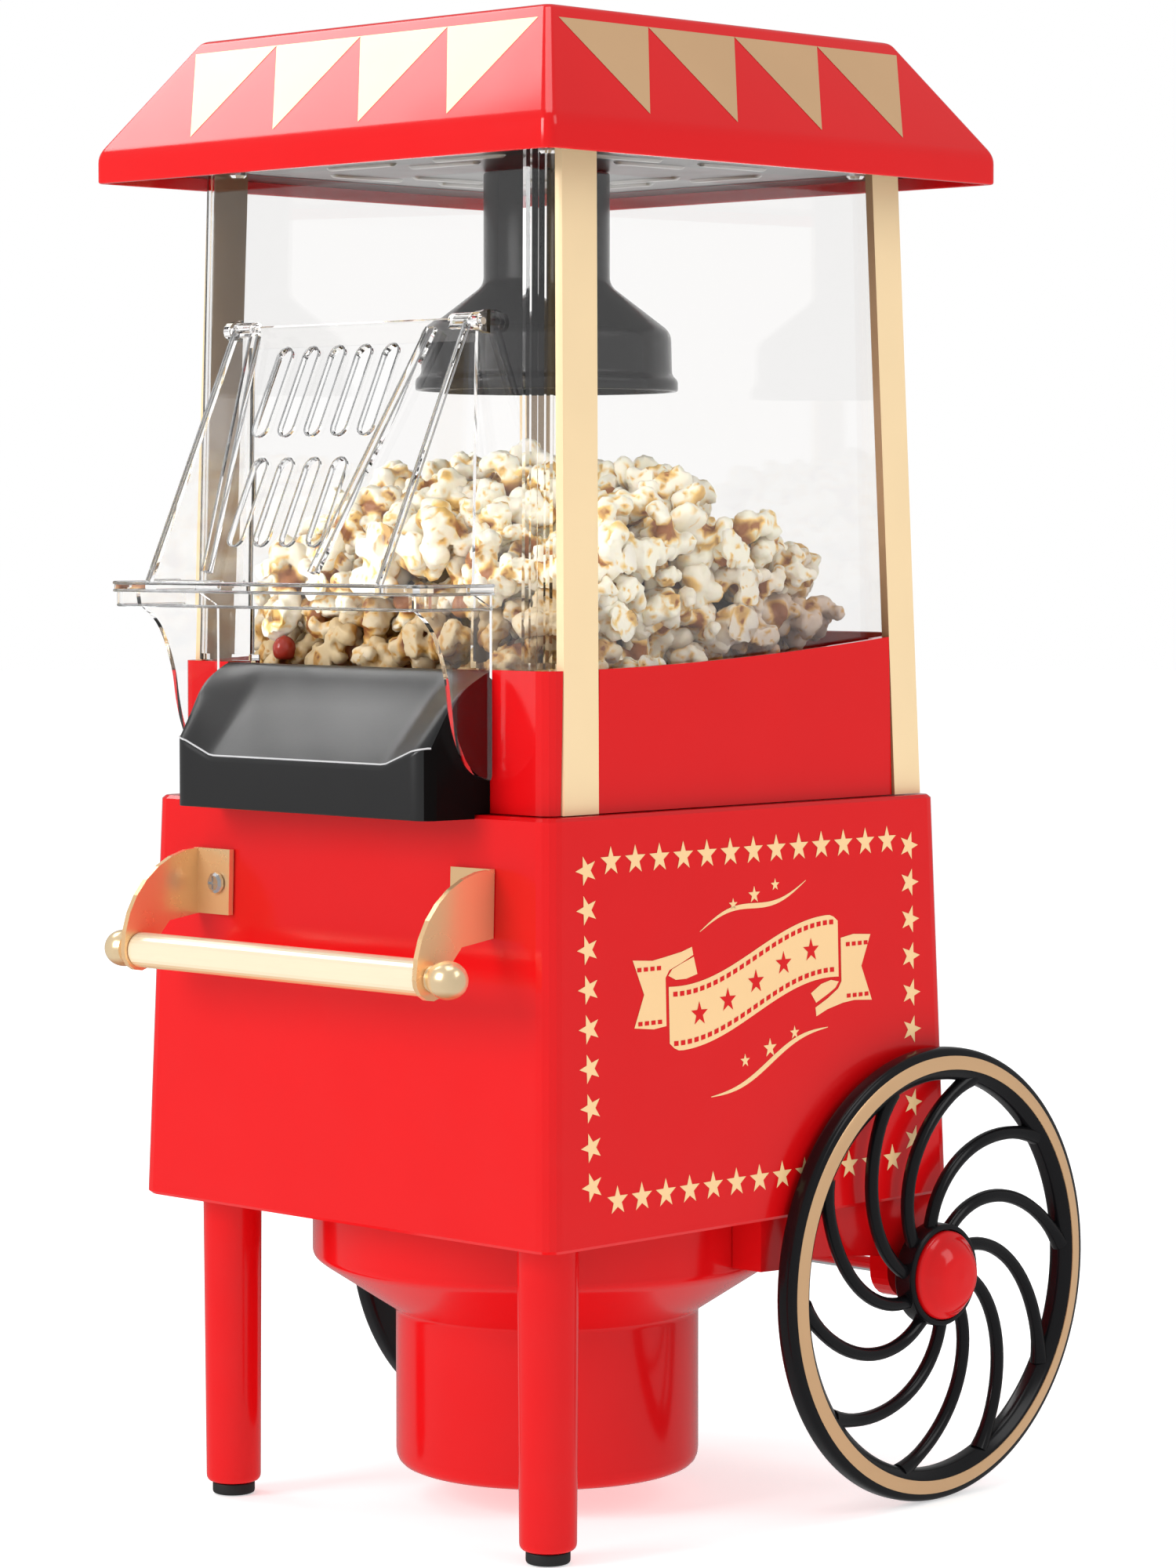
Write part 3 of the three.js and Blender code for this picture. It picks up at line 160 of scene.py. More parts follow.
def paint_shade_on_side(mat, axis, side, tint):
    """Painted shade: multiply the colour by tint on faces turned to an axis's plus side (1) or minus side
    (-1).
    """
    tree = mat.node_tree
    shader = principled(mat)
    base = shader.inputs["Base Color"].links[0].from_socket
    coordinates = tree.nodes.new("ShaderNodeTexCoord")
    parts = tree.nodes.new("ShaderNodeSeparateXYZ")
    ramp = tree.nodes.new("ShaderNodeMapRange")
    ramp.inputs["From Min"].default_value = 0.5 * side
    ramp.inputs["From Max"].default_value = 0.8 * side
    darker = multiply_node(tree)
    darker.inputs[MIX_B].default_value = tint
    tree.links.new(coordinates.outputs["Normal"], parts.inputs[0])
    tree.links.new(parts.outputs[axis], ramp.inputs["Value"])
    tree.links.new(ramp.outputs[0], darker.inputs["Factor"])
    tree.links.new(base, darker.inputs[MIX_A])
    tree.links.new(darker.outputs[MIX_RESULT], shader.inputs["Base Color"])


STRIP_GOLD = (0.96, 0.73, 0.43, 1)
NEAR_BLACK = (0.006, 0.006, 0.007, 1)
RED = material("red_gloss", (0.68, 0.004, 0.006, 1), rough=0.14, shade=0.03, grain=0.003, tilt=0.03,
               tilt_scale=16)
GOLD_LEFT = material("gold_strip_left", STRIP_GOLD, rough=0.3, metallic=0.12, shade=0.05)
# Painted shade: the left posts' faces turned inwards (+X) are darkened to brown.
paint_shade_on_side(GOLD_LEFT, "X", 1, (0.42, 0.38, 0.38, 1))
GOLD_REAR = material("gold_strip_rear", STRIP_GOLD, rough=0.3, metallic=0.12, shade=0.05)
# Painted shade: the rear post's faces turned to the front (-Y) are darkened to brown.
paint_shade_on_side(GOLD_REAR, "Y", -1, (0.42, 0.32, 0.28, 1))
CREAM = material("cream_print", srgb(246, 206, 150), rough=0.35, shade=0.03, grain=0.01, grain_scale=1800)
GOLD = material("gold_strip", STRIP_GOLD, rough=0.3, metallic=0.12, shade=0.05, grain=0.02, grain_scale=2400)
FOIL = material("gold_foil", (0.90, 0.57, 0.31, 1), rough=0.26, metallic=0.6, shade=0.05, rough_spread=0.02)
BRASS = material("brass_plate", (1.0, 0.66, 0.35, 1), rough=0.27, metallic=0.66, shade=0.05,
                 rough_spread=0.02)
SATIN = material("satin_gold", (1.0, 0.86, 0.62, 1), rough=0.22, metallic=0.32, specular=0.9,
                 rough_spread=0.02)
# Painted shade: the bar's underside is darker and browner than its top.
paint_shade_on_side(SATIN, "Z", -1, (0.80, 0.60, 0.40, 1))
KNOB_GOLD = material("knob_gold", (1.0, 0.77, 0.47, 1), rough=0.25, metallic=0.65, specular=0.9,
                     rough_spread=0.02)
# Painted shade: the knobs' undersides are darker and browner than their tops.
paint_shade_on_side(KNOB_GOLD, "Z", -1, (0.72, 0.46, 0.30, 1))
BLACK = material("black_gloss", NEAR_BLACK, rough=0.2, shade=0.1, grain=0.006, specular=0.28)
BELL_BLACK = material("bell_black", NEAR_BLACK, rough=0.2, shade=0.1, grain=0.006, specular=0.12)
SHADED = material("chute_side_shade", (0.004, 0.003, 0.003, 1), rough=0.35, shade=0.1, grain=0.01, specular=0.06)
CHARCOAL = material("charcoal", (0.013, 0.013, 0.0135, 1), rough=0.3, shade=0.08, grain=0.01,
                    grain_scale=1300)
RUBBER = material("rubber", (0.012, 0.012, 0.012, 1), rough=0.6, shade=0.15, grain=0.03, grain_scale=1400)
CLEAR = material("clear_plastic", (0.995, 0.99, 0.985, 1), rough=0.015, transmission=1.0, ior=1.47, shade=0.0,
                 rough_spread=0.012, tilt=0.01, tilt_scale=9)
SHEET = material("grey_sheet", (0.036, 0.034, 0.033, 1), rough=0.3, metallic=0.6, specular=0.3, shade=0.06,
                 grain=0.01)
# Painted highlight: the ribs are pressed from the same grey sheet, but painted much lighter than it.
SHEET_RIB_HIGHLIGHT = material("sheet_rib_highlight", (0.42, 0.42, 0.41, 1), rough=0.3, metallic=0.6, shade=0.06)
STEEL = material("zinc_steel", (0.82, 0.82, 0.83, 1), rough=0.24, metallic=1.0, shade=0.06, grain=0.006,
                 grain_scale=2200)
ALUMINIUM = material("spun_aluminium", (0.78, 0.78, 0.79, 1), rough=0.3, metallic=1.0, grain=0.01,
                     grain_scale=1200, stretch=(0.2, 0.2, 2))
MICA = material("mica_board", (0.42, 0.32, 0.2, 1), rough=0.5, shade=0.25, shade_scale=160, grain=0.02)
WIRE = material("heater_wire", (0.35, 0.31, 0.28, 1), rough=0.4, metallic=1.0, shade=0.2, shade_scale=300)

NODE_LOOKS = {
    "red": (RED, ["base_body", "base_plate", "hopper_tub", "roof_shell", "axle_carrier"]),
    "gold": (GOLD, ["post_front_right"]),
    "gold_rear": (GOLD_REAR, ["post_rear_right"]),
    "gold_left": (GOLD_LEFT, ["post_front_left", "post_rear_left"]),
    "clear": (CLEAR, ["clear_screen", "chute_hood"]),
    "brass": (BRASS, ["handle_bracket_right", "handle_bracket_left"]),
    "satin": (SATIN, ["handle_bar"]),
    "black": (BLACK, ["switch_housing", "switch_rocker", "fan"]),
    "charcoal": (CHARCOAL, ["chute"]),
    "rubber": (RUBBER, ["cord_inlet"]),
    "sheet": (SHEET, ["ceiling_plate"]),
    "steel": (STEEL, [name for name in frame["nodes"] if "screw" in name or "pin" in name or "nut" in name]
              + ["axle", "motor_shaft", "motor", "bell_bolt", "air_duct", "motor_bracket"]),
    "aluminium": (ALUMINIUM, ["popping_cup", "thermal_fuse"]),
    "mica": (MICA, ["heater_frame", "thermostat"]),
    "wire": (WIRE, ["heater_coil"]),
}


def smooth(mesh, degrees=32):
    mesh.shade_smooth()
    mesh.set_sharp_from_angle(angle=math.radians(degrees))


def paint(obj, mat):
    obj.data.materials.clear()
    obj.data.materials.append(mat)


CLEAR_BEVEL = 0.45
for look, names in NODE_LOOKS.values():
    for node_name in names:
        node = frame["nodes"][node_name]
        paint(node, look)
        smooth(node.data)
        if look is CLEAR:
            edges = node.modifiers.new("edges", "BEVEL")
            edges.width = CLEAR_BEVEL * MM
            edges.segments = 2
            edges.angle_limit = math.radians(30)
            node.visible_shadow = False
        weights = node.modifiers.new("weights", "WEIGHTED_NORMAL")
        weights.keep_sharp = True


# ---------------------------------------------------------------- mesh helpers
def piece(name, points, faces, mat, body="machine", slot=None, degrees=32, replaces=()):
    mesh = bpy.data.meshes.new(name)
    mesh.from_pydata([world(*p) for p in points], [], faces)
    mesh.validate()
    mesh.materials.append(mat)
    smooth(mesh, degrees)
    obj = bpy.data.objects.new(name, mesh)
    COLLECTION.objects.link(obj)
    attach(obj, body)
    if replaces:
        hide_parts(*replaces)
    return obj


def rounded(corners, steps=5):
    """Polyline through (a, b, radius) corners with each corner turned into an arc-like bend."""
    points = []
    count = len(corners)
    for i, (a, b, radius) in enumerate(corners):
        here = Vector((a, b))
        if radius <= 0 or i in (0, count - 1):
            points.append((a, b))
            continue
        before = Vector(corners[i - 1][:2]) - here
        after = Vector(corners[i + 1][:2]) - here
        start = here + before.normalized() * min(radius, before.length * 0.49)
        end = here + after.normalized() * min(radius, after.length * 0.49)
        for k in range(steps + 1):
            t = k / steps
            points.append(tuple(start * (1 - t) ** 2 + here * 2 * t * (1 - t) + end * t ** 2))
    return points


def rounded_loop(corners, steps=5):
    """The same for a closed outline."""
    wrapped = [corners[-1], *corners, corners[0]]
    return rounded(wrapped, steps)[1:-1]


def skin(rings, loop=False, caps=True):
    """Points and faces of a tube through rings of equal length; loop joins the last ring to the first."""
    size = len(rings[0])
    points = [p for ring in rings for p in ring]
    faces = []
    levels = len(rings) if loop else len(rings) - 1
    for level in range(levels):
        low, high = level * size, ((level + 1) % len(rings)) * size
        for i in range(size):
            j = (i + 1) % size
            faces.append((low + i, low + j, high + j, high + i))
    if caps and not loop:
        faces.append(tuple(reversed(range(size))))
        faces.append(tuple(range((len(rings) - 1) * size, len(rings) * size)))
    return points, faces


def square_ring(half, corner, z, steps=8):
    """Rounded square about the axis, counter-clockwise from above."""
    corner = max(corner, 0.05)
    flat = half - corner
    ring = []
    for quarter, (sx, sy) in enumerate(((1, 1), (-1, 1), (-1, -1), (1, -1))):
        for k in range(steps + 1):
            angle = (quarter + k / steps) * math.pi / 2
            ring.append((sx * flat + corner * math.cos(angle), sy * flat + corner * math.sin(angle), z))
    return ring


def turned(profile, segments=96, axis="Z", origin=(0, 0, 0), flip=1):
    """Rings of a body of revolution from (radius, height) points; a zero radius closes it."""
    rings = []
    for radius, height in profile:
        radius = max(radius, 0.01)
        ring = []
        for k in range(segments):
            angle = 2 * math.pi * k / segments
            u, v = radius * math.cos(angle), radius * math.sin(angle)
            if axis == "Z":
                point = (u, v, height)
            else:
                point = (flip * height, flip * u, v)
            ring.append(tuple(a + b for a, b in zip(origin, point)))
        rings.append(ring)
    return rings


def merge(*parts):
    """Several (points, faces) as one."""
    points, faces = [], []
    for more_points, more_faces in parts:
        base = len(points)
        points.extend(more_points)
        faces.extend(tuple(base + i for i in face) for face in more_faces)
    return points, faces


def rod(path, radii, sides=14):
    """Rings of a tube along a path of 3D points, with a radius at each."""
    path = [Vector(p) for p in path]
    rings = []
    side = None
    for i, here in enumerate(path):
        ahead = path[min(i + 1, len(path) - 1)]
        behind = path[max(i - 1, 0)]
        direction = (ahead - behind).normalized()
        if side is None:
            side = direction.orthogonal().normalized()
        side = (side - direction * side.dot(direction)).normalized()
        up = direction.cross(side)
        ring = []
        for k in range(sides):
            angle = 2 * math.pi * k / sides
            ring.append(tuple(here + (side * math.cos(angle) + up * math.sin(angle)) * radii[i]))
        rings.append(ring)
    return rings


# ---------------------------------------------------------------- camera, floor and light
CAMERA_AT = Vector((1.1055, -1.1311, 0.3390))
CAMERA_YAW = math.radians(134.205)
CAMERA_DOWN = math.radians(3.288)
LENS = 103.72

camera_data = bpy.data.cameras.new("camera")
camera_data.lens = LENS
camera_data.sensor_width = 36
camera = bpy.data.objects.new("camera", camera_data)
COLLECTION.objects.link(camera)
camera.location = CAMERA_AT
level = math.cos(CAMERA_DOWN)
forward = Vector((math.cos(CAMERA_YAW) * level, math.sin(CAMERA_YAW) * level, -math.sin(CAMERA_DOWN)))
camera.rotation_euler = forward.to_track_quat("-Z", "Y").to_euler()
bpy.context.scene.camera = camera
bpy.context.scene.view_settings.view_transform = "Standard"
# Light has to run far along the clear plates' edges before it comes out again.
bpy.context.scene.cycles.glossy_bounces = 20
bpy.context.scene.cycles.max_bounces = 28

studio = bpy.data.worlds.new("studio")
bpy.context.scene.world = studio
studio.use_nodes = True
backdrop = studio.node_tree.nodes["Background"]
backdrop.inputs["Color"].default_value = (1, 1, 1, 1)
# White where it is seen, directly or through the clear plastic, and dimmer as a light.
ray = studio.node_tree.nodes.new("ShaderNodeLightPath")
seen = studio.node_tree.nodes.new("ShaderNodeMath")
seen.operation = "MAXIMUM"
studio.node_tree.links.new(ray.outputs["Is Camera Ray"], seen.inputs[0])
studio.node_tree.links.new(ray.outputs["Is Transmission Ray"], seen.inputs[1])
ambient = studio.node_tree.nodes.new("ShaderNodeMapRange")
ambient.inputs["To Min"].default_value = 0.62
ambient.inputs["To Max"].default_value = 0.36
studio.node_tree.links.new(ray.outputs["Is Glossy Ray"], ambient.inputs["Value"])
strength = studio.node_tree.nodes.new("ShaderNodeMapRange")
strength.inputs["To Max"].default_value = 1.0
studio.node_tree.links.new(ambient.outputs[0], strength.inputs["To Min"])
studio.node_tree.links.new(seen.outputs[0], strength.inputs["Value"])
studio.node_tree.links.new(strength.outputs[0], backdrop.inputs["Strength"])


def area_light(name, place, target, size, power):
    data = bpy.data.lights.new(name, "AREA")
    data.shape = "RECTANGLE"
    data.size, data.size_y = size
    data.energy = power
    light = bpy.data.objects.new(name, data)
    COLLECTION.objects.link(light)
    light.location = place
    light.rotation_euler = (Vector(target) - Vector(place)).to_track_quat("-Z", "Y").to_euler()
    return light


MIDDLE = (0, AXIS_Y, 0.26)
area_light("key_left", (-0.7, -2.3, 1.2), MIDDLE, (1.0, 1.2), 30)
area_light("sheen_left", (-1.6, -0.2, 1.85), MIDDLE, (0.9, 0.8), 9)
area_light("fill_right", (1.8, 0.5, 1.4), MIDDLE, (0.9, 1.2), 7)
area_light("top", (0.1, -0.1, 2.0), MIDDLE, (1.0, 1.0), 8)

FLOOR_RADIUS, FLOOR_Z, FLOOR_SIDES = 9000, -0.3, 64
floor_points = []
for k in range(FLOOR_SIDES):
    angle = 2 * math.pi * k / FLOOR_SIDES
    floor_points.append(world(FLOOR_RADIUS * math.cos(angle), FLOOR_RADIUS * math.sin(angle), FLOOR_Z))
floor_mesh = bpy.data.meshes.new("floor")
floor_mesh.from_pydata(floor_points, [], [tuple(range(FLOOR_SIDES))])
floor = bpy.data.objects.new("floor", floor_mesh)
COLLECTION.objects.link(floor)
floor_look = material("pale_floor", (0.88, 0.88, 0.88, 1), rough=0.6, shade=0.0, specular=0.1)
floor_shader = principled(floor_look)
floor_shader.inputs["Emission Color"].default_value = (1, 1, 1, 1)
floor_shader.inputs["Emission Strength"].default_value = 0.52
paint(floor, floor_look)
floor.visible_glossy = False


# ---------------------------------------------------------------- roof
ROOF_HALF = 110.5
# Ends of a slope's flat part, as distance out from the axis and height.
SLOPE_LOW, SLOPE_HIGH = (109.3, 467.9), (85.2, 503.8)
PRINT_LIFT = 0.12
roof_outline = rounded([
    (30, 502.6, 0), (83.0, 502.6, 0.5), (108.1, 465.2, 0.5), (108.1, 456.3, 0.4), (110.5, 456.3, 0.9),
    (110.5, 466.1, 2.8), (84.4, 505.0, 2.0), (30, 505.0, 0),
])
roof_rings = [square_ring(half, 1.6 + 2.2 * (half / ROOF_HALF) ** 4, z) for half, z in roof_outline]
piece("roof_skin", *skin(roof_rings), RED, "lid", "red_plastic", replaces=["roof_shell"])


def on_slope(side, along, up):
    """Point just proud of one roof slope: along it level, and up it from 0 (fascia) to 1 (plateau)."""
    out_low, z_low = SLOPE_LOW
    out_high, z_high = SLOPE_HIGH
    length = math.hypot(out_low - out_high, z_high - z_low)
    out = lerp(out_low, out_high, up) + PRINT_LIFT * (z_high - z_low) / length
    z = lerp(z_low, z_high, up) + PRINT_LIFT * (out_low - out_high) / length
    places = {"right": (out, along), "left": (-out, -along), "front": (along, -out), "rear": (-along, out)}
    return (*places[side], z)


PENNANTS = 4
PENNANT_WIDTH = 41.5
PENNANT_UP = (0.05, 0.905)
for slope_side in ("right", "left", "front", "rear"):
    points, faces = [], []
    for index in range(PENNANTS):
        left = (index - PENNANTS / 2) * PENNANT_WIDTH
        base = len(points)
        points += [
            on_slope(slope_side, left + PENNANT_WIDTH / 2, PENNANT_UP[0]),
            on_slope(slope_side, left + PENNANT_WIDTH, PENNANT_UP[1]),
            on_slope(slope_side, left, PENNANT_UP[1]),
        ]
        faces.append((base, base + 1, base + 2))
    piece(f"pennants_{slope_side}", points, faces, FOIL, "lid", "cream_gold_trim")

# ---------------------------------------------------------------- ribs pressed into the ceiling plate, with a painted highlight
CEILING_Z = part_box("ceiling_plate")[0].z / MM
RIB_LENGTH, RIB_HALF, RIB_DROP = 32.0, 1.5, 0.9
# Each row's distance out from the axis, and the middles of its ribs along the row.
RIB_ROWS = ((62.0, (-26.0, 26.0)), (48.0, (0.0,)))
# A rib's rings, from the plate down: how much wider than the rib, and how far down.
RIB_RINGS = ((0.7, 0.0), (0.25, 0.55 * RIB_DROP), (-0.4, RIB_DROP))


def pressed_rib(x, y, along_x):
    """Low round-ended ridge hanging under the plate."""
    rings = []
    for grow, drop in RIB_RINGS:
        ring = []
        for k in range(20):
            angle = 2 * math.pi * k / 20
            end = (RIB_LENGTH / 2 - RIB_HALF) * (1 if math.cos(angle) >= 0 else -1)
            a = end + (RIB_HALF + grow) * math.cos(angle)
            b = (RIB_HALF + grow) * math.sin(angle)
            ring.append((x + a, y + b, CEILING_Z - drop) if along_x else (x + b, y + a, CEILING_Z - drop))
        rings.append(ring)
    return skin(rings)


ribs = []
for out, middles in RIB_ROWS:
    for middle in middles:
        for sign in (-1, 1):
            ribs.append(pressed_rib(middle, sign * out, True))
            ribs.append(pressed_rib(sign * out, middle, False))
piece("ceiling_ribs", *merge(*ribs), SHEET_RIB_HIGHLIGHT, "lid", "ceiling_sheet")

# ---------------------------------------------------------------- chute
CHUTE_FRONT, CHUTE_REAR = -118.5, -88.6
CHUTE_HALF = (61.2, 64.0)  # half its width at the front and at the rear
CHUTE_CORNER = 6.0
CHUTE_SLICES = 56
# The slide's sides rise in a bank that starts this far from the middle and is this wide.
BANK_START, BANK_WIDTH = 42.5, 18.0


def ease(t):
    t = max(0.0, min(1.0, t))
    return t * t * (3 - 2 * t)


chute_rings = []
for k in range(CHUTE_SLICES + 1):
    u = math.sin(math.pi * (k / CHUTE_SLICES - 0.5))
    across = abs(u) * CHUTE_HALF[0]
    into_corner = max(0.0, across - (CHUTE_HALF[0] - CHUTE_CORNER))
    front = CHUTE_FRONT + CHUTE_CORNER - math.sqrt(CHUTE_CORNER ** 2 - into_corner ** 2)
    bank = max(0.0, min(1.0, (across - BANK_START) / BANK_WIDTH))
    edge = max(0.05, 1 - into_corner / CHUTE_CORNER)
    lip_z = lerp(260.6, 267.2, bank)
    outline = rounded_loop([
        (front, 243.9, 0.8 * edge), (front, lip_z, 1.3 * edge),
        (lerp(-98.0, -104.0, bank), lerp(282.6, 285.0, bank), 6), (-91.5, 291.8, 5),
        (CHUTE_REAR, 291.8, 0.6), (CHUTE_REAR, 289.0, 0), (-90.7, 289.0, 0),
        (-90.7, 245.6, 0), (-97.0, 245.6, 0), (-97.0, 243.9, 0),
    ])
    span = [lerp(*CHUTE_HALF, (y - CHUTE_FRONT) / (CHUTE_REAR - CHUTE_FRONT)) for y, _ in outline]
    chute_rings.append([(u * half, y, z) for half, (y, z) in zip(span, outline)])
chute = piece("chute_skin", *skin(chute_rings), CHARCOAL, "machine", "chute_plastic", degrees=50,
              replaces=["chute"])
# Painted shade: faces turned sideways get a darker, barely reflective copy of the chute's charcoal.
chute.data.materials.append(SHADED)
SIDEWAYS = 0.75
for face in chute.data.polygons:
    if abs(face.normal.x) > SIDEWAYS:
        face.material_index = 1

# Painted highlight: a thin light grey rod along the chute's lip, on the round between its front and its
# slide, stands in for the line of light the round catches.
LIP_HIGHLIGHT = material("lip_highlight", (0.55, 0.55, 0.56, 1), rough=0.25, shade=0.05)
LIP_RADIUS, LIP_BELOW = 0.32, 269


def lip_reach(point):
    """How far up and forward a point of the chute's outline lies, if it isn't on the slide."""
    return point[2] - 1.2 * point[1] if point[2] < LIP_BELOW else -1e3


lip_path = [max(ring, key=lip_reach) for ring in chute_rings[2:-2]]
piece("chute_lip", *skin(rod(lip_path, [LIP_RADIUS] * len(lip_path), 8)), LIP_HIGHLIGHT, "machine", "chute_plastic")

# ---------------------------------------------------------------- grey-tinted beads along the clear hood's edges, as painted edge lines
# Painted light: the grey tint stands in for the dark and bright lines that refraction and reflection make
# along the clear plastic's edges.
EDGE_LINES = material("clear_edge_lines", (0.50, 0.51, 0.52, 1), rough=0.04, transmission=1.0, ior=1.47, shade=0.3,
                shade_scale=260)
FACE_TOP, FACE_BOTTOM = Vector((0, -93.6, 405.8)), Vector((0, -133.8, 319.4))
FACE_HALF = 56.3
FACE_LIP = 2.2  # depth of the turned-in lip along the face's sides
SLOT_PITCH, SLOT_HALF = 12.9, 3.6
SLOT_ROWS = ((5, 8.5, 41.5), (4, 49.5, 81.5))  # count, then start and end down the face
# Two slanted ribs, each with an edge on either side of its middle: top and bottom as (x, down the face).
HOOD_RIB_TOP, HOOD_RIB_BOTTOM, HOOD_RIB_EDGE, HOOD_RIB_OUT = (43, 4), (26, 91.4), 1.7, 2
SKIRT_HALF, SKIRT_FRONT, SKIRT_REAR, SKIRT_CORNER = 76.5, -134.0, -101.4, 6
SKIRT_BEADS = ((0.0, 319.4, 0.6), (0.0, 316.8, 0.5), (0.9, 311.9, 0.5))  # inset, height, bead radius
FACE_DOWN = (FACE_BOTTOM - FACE_TOP).normalized()
FACE_OUT = Vector((0, FACE_DOWN.z, -FACE_DOWN.y))
FACE_LENGTH = (FACE_BOTTOM - FACE_TOP).length


def on_face(x, down, out=0.0):
    """Point on the hood's slanted face."""
    return FACE_TOP + FACE_DOWN * down + FACE_OUT * out + Vector((x, 0, 0))


def bead(path, radius, closed=False):
    path = [Vector(p) for p in path]
    if closed:
        path.append(path[0])
    return skin(rod(path, [radius] * len(path), 8))


def slot_outline(x, start, end, half):
    """Loop round one slot, a hair proud of the face."""
    loop = []
    for middle, first in ((end - half, 0), (start + half, 180)):
        for k in range(9):
            angle = math.radians(first + 22.5 * k)
            loop.append(on_face(x + half * math.cos(angle), middle + half * math.sin(angle), 0.05))
    return loop


def skirt_edge(inset):
    """Right half of the skirt's outline, from the middle of its front round the corner to the rear."""
    centre_x = SKIRT_HALF - inset - SKIRT_CORNER
    centre_y = SKIRT_FRONT + inset + SKIRT_CORNER
    outline = []
    for degrees in range(0, 91, 15):
        angle = math.radians(degrees)
        outline.append((centre_x + SKIRT_CORNER * math.sin(angle), centre_y - SKIRT_CORNER * math.cos(angle)))
    outline.append((SKIRT_HALF - inset, SKIRT_REAR))
    return outline


beads = []
for x in (-FACE_HALF, FACE_HALF):
    for out, radius in ((0.0, 0.55), (-FACE_LIP, 0.4)):
        beads.append(bead([on_face(x, 1, out), on_face(x, FACE_LENGTH - 1, out)], radius))
for sign in (-1, 1):
    for across in (-HOOD_RIB_EDGE, HOOD_RIB_EDGE):
        ends = [on_face(sign * x + across, down, HOOD_RIB_OUT) for x, down in (HOOD_RIB_TOP, HOOD_RIB_BOTTOM)]
        beads.append(bead(ends, 0.38))
for count, start, end in SLOT_ROWS:
    for i in range(count):
        middle = (i - (count - 1) / 2) * SLOT_PITCH
        beads.append(bead(slot_outline(middle, start, end, SLOT_HALF), 0.33, True))
for inset, z, radius in SKIRT_BEADS:
    right = skirt_edge(inset)
    left = [(-x, y) for x, y in reversed(right)]
    beads.append(bead([(x, y, z) for x, y in left + right], radius))
piece("hood_edges", *merge(*beads), EDGE_LINES, "chute_hood", "clear_plastic", degrees=60)

# ---------------------------------------------------------------- bell
bell_outline = rounded([
    (0.0, 460.2, 0), (21.2, 460.2, 1.2), (21.2, 421.5, 3), (42.4, 405.2, 3), (42.8, 390.4, 1.5),
    (44.8, 388.6, 1.2), (44.8, 384.8, 1), (43.2, 384.8, 0.6),
    (41.0, 389.5, 1), (41.0, 405.0, 2), (19.4, 421.6, 2), (19.4, 457.6, 1), (0.0, 457.6, 0),
])
bell = skin(turned(bell_outline), caps=False)
piece("bell_skin", *bell, BELL_BLACK, "lid", "black_plastic", replaces=["bell"])

# ---------------------------------------------------------------- underside and legs
cover_outline = rounded([
    (0.0, 10.5, 0), (53.0, 10.5, 6), (53.0, 66.0, 1.5), (79.8, 83.5, 2.2), (82.0, 85.6, 1.5),
    (82.0, 105.8, 0.3), (79.8, 105.8, 0.3),
    (79.8, 86.5, 1), (50.8, 68.0, 1), (50.8, 12.7, 2), (0.0, 12.7, 0),
])
cover = skin(turned(cover_outline, 128), caps=False)
piece("cover_skin", *cover, RED, "machine", "red_plastic", replaces=["under_cover"])

LEG_X, LEG_Y = 77.6, -78.0
leg_outline = rounded([(0.0, 4.2, 0), (9.5, 4.2, 2.6), (10.2, 105.8, 0.2), (0.0, 105.8, 0)])
foot_outline = rounded([(0.0, 0.0, 0), (7.4, 0.0, 1.2), (7.4, 4.0, 0.6), (0.0, 4.0, 0)])
for side_name, side in (("right", 1), ("left", -1)):
    place = (side * LEG_X, LEG_Y, 0)
    leg = skin(turned(leg_outline, 64, origin=place), caps=False)
    piece(f"leg_skin_{side_name}", *leg, RED, "machine", "red_plastic", replaces=[f"leg_{side_name}"])
    foot = skin(turned(foot_outline, 48, origin=place), caps=False)
    piece(f"foot_pad_{side_name}", *foot, RUBBER, "machine", "rubber", replaces=[f"foot_{side_name}"])

# ---------------------------------------------------------------- wheels
WHEEL_Y, WHEEL_Z = 85.0, 79.0
SPOKES = 10
SPOKE_X, SPOKE_RADIUS = 105.7, 2.35
SPOKE_FROM, SPOKE_TO = 12.5, 69.5
# A spoke's angle in degrees is SPOKE_END at SPOKE_END_REACH from the axle; each mm inwards adds SPOKE_TURN.
SPOKE_END, SPOKE_TURN, SPOKE_END_REACH = 4.0, 1.17, 68
SPOKE_FLARE = 0.14  # share of its length over which a spoke thickens, at each end
# Outlines below are (distance from the axle, distance from the cart's middle, corner radius).
rim_outline = rounded_loop([
    (79.0, 101.6, 2.4), (79.0, 108.4, 2.6), (76.2, 109.1, 0.8), (71.3, 110.1, 1.6), (67.6, 107.2, 1.6),
    (67.6, 101.6, 2.4),
], 6)
hub_outline = rounded([
    (2.58, 92.6, 0), (6.6, 92.6, 0.6), (6.6, 102.0, 0.8), (17.8, 102.0, 1.2), (17.8, 110.2, 1.4),
    (15.9, 110.2, 0.2), (15.9, 108.0, 0.2), (2.58, 108.0, 0),
])
cap_outline = rounded([
    (0.0, 108.6, 0), (15.4, 108.6, 0.3), (15.4, 111.2, 1.0), (13.6, 112.6, 1.2), (12.2, 114.4, 1.6),
    (8.4, 117.6, 3.0), (0.0, 118.5, 0),
])
ring_outline = [
    (76.15, 109.2), (75.9, 109.32), (71.7, 110.16), (71.45, 110.1), (71.45, 109.6), (76.15, 108.8),
]


def spoke_ring_radius(t):
    """Radius of a spoke at t of its length, flared at both ends."""
    outer = max(0, (t - 1 + SPOKE_FLARE) / SPOKE_FLARE)
    inner = max(0, (SPOKE_FLARE - t) / SPOKE_FLARE)
    return SPOKE_RADIUS + 0.9 * outer ** 2 + 0.8 * inner ** 2


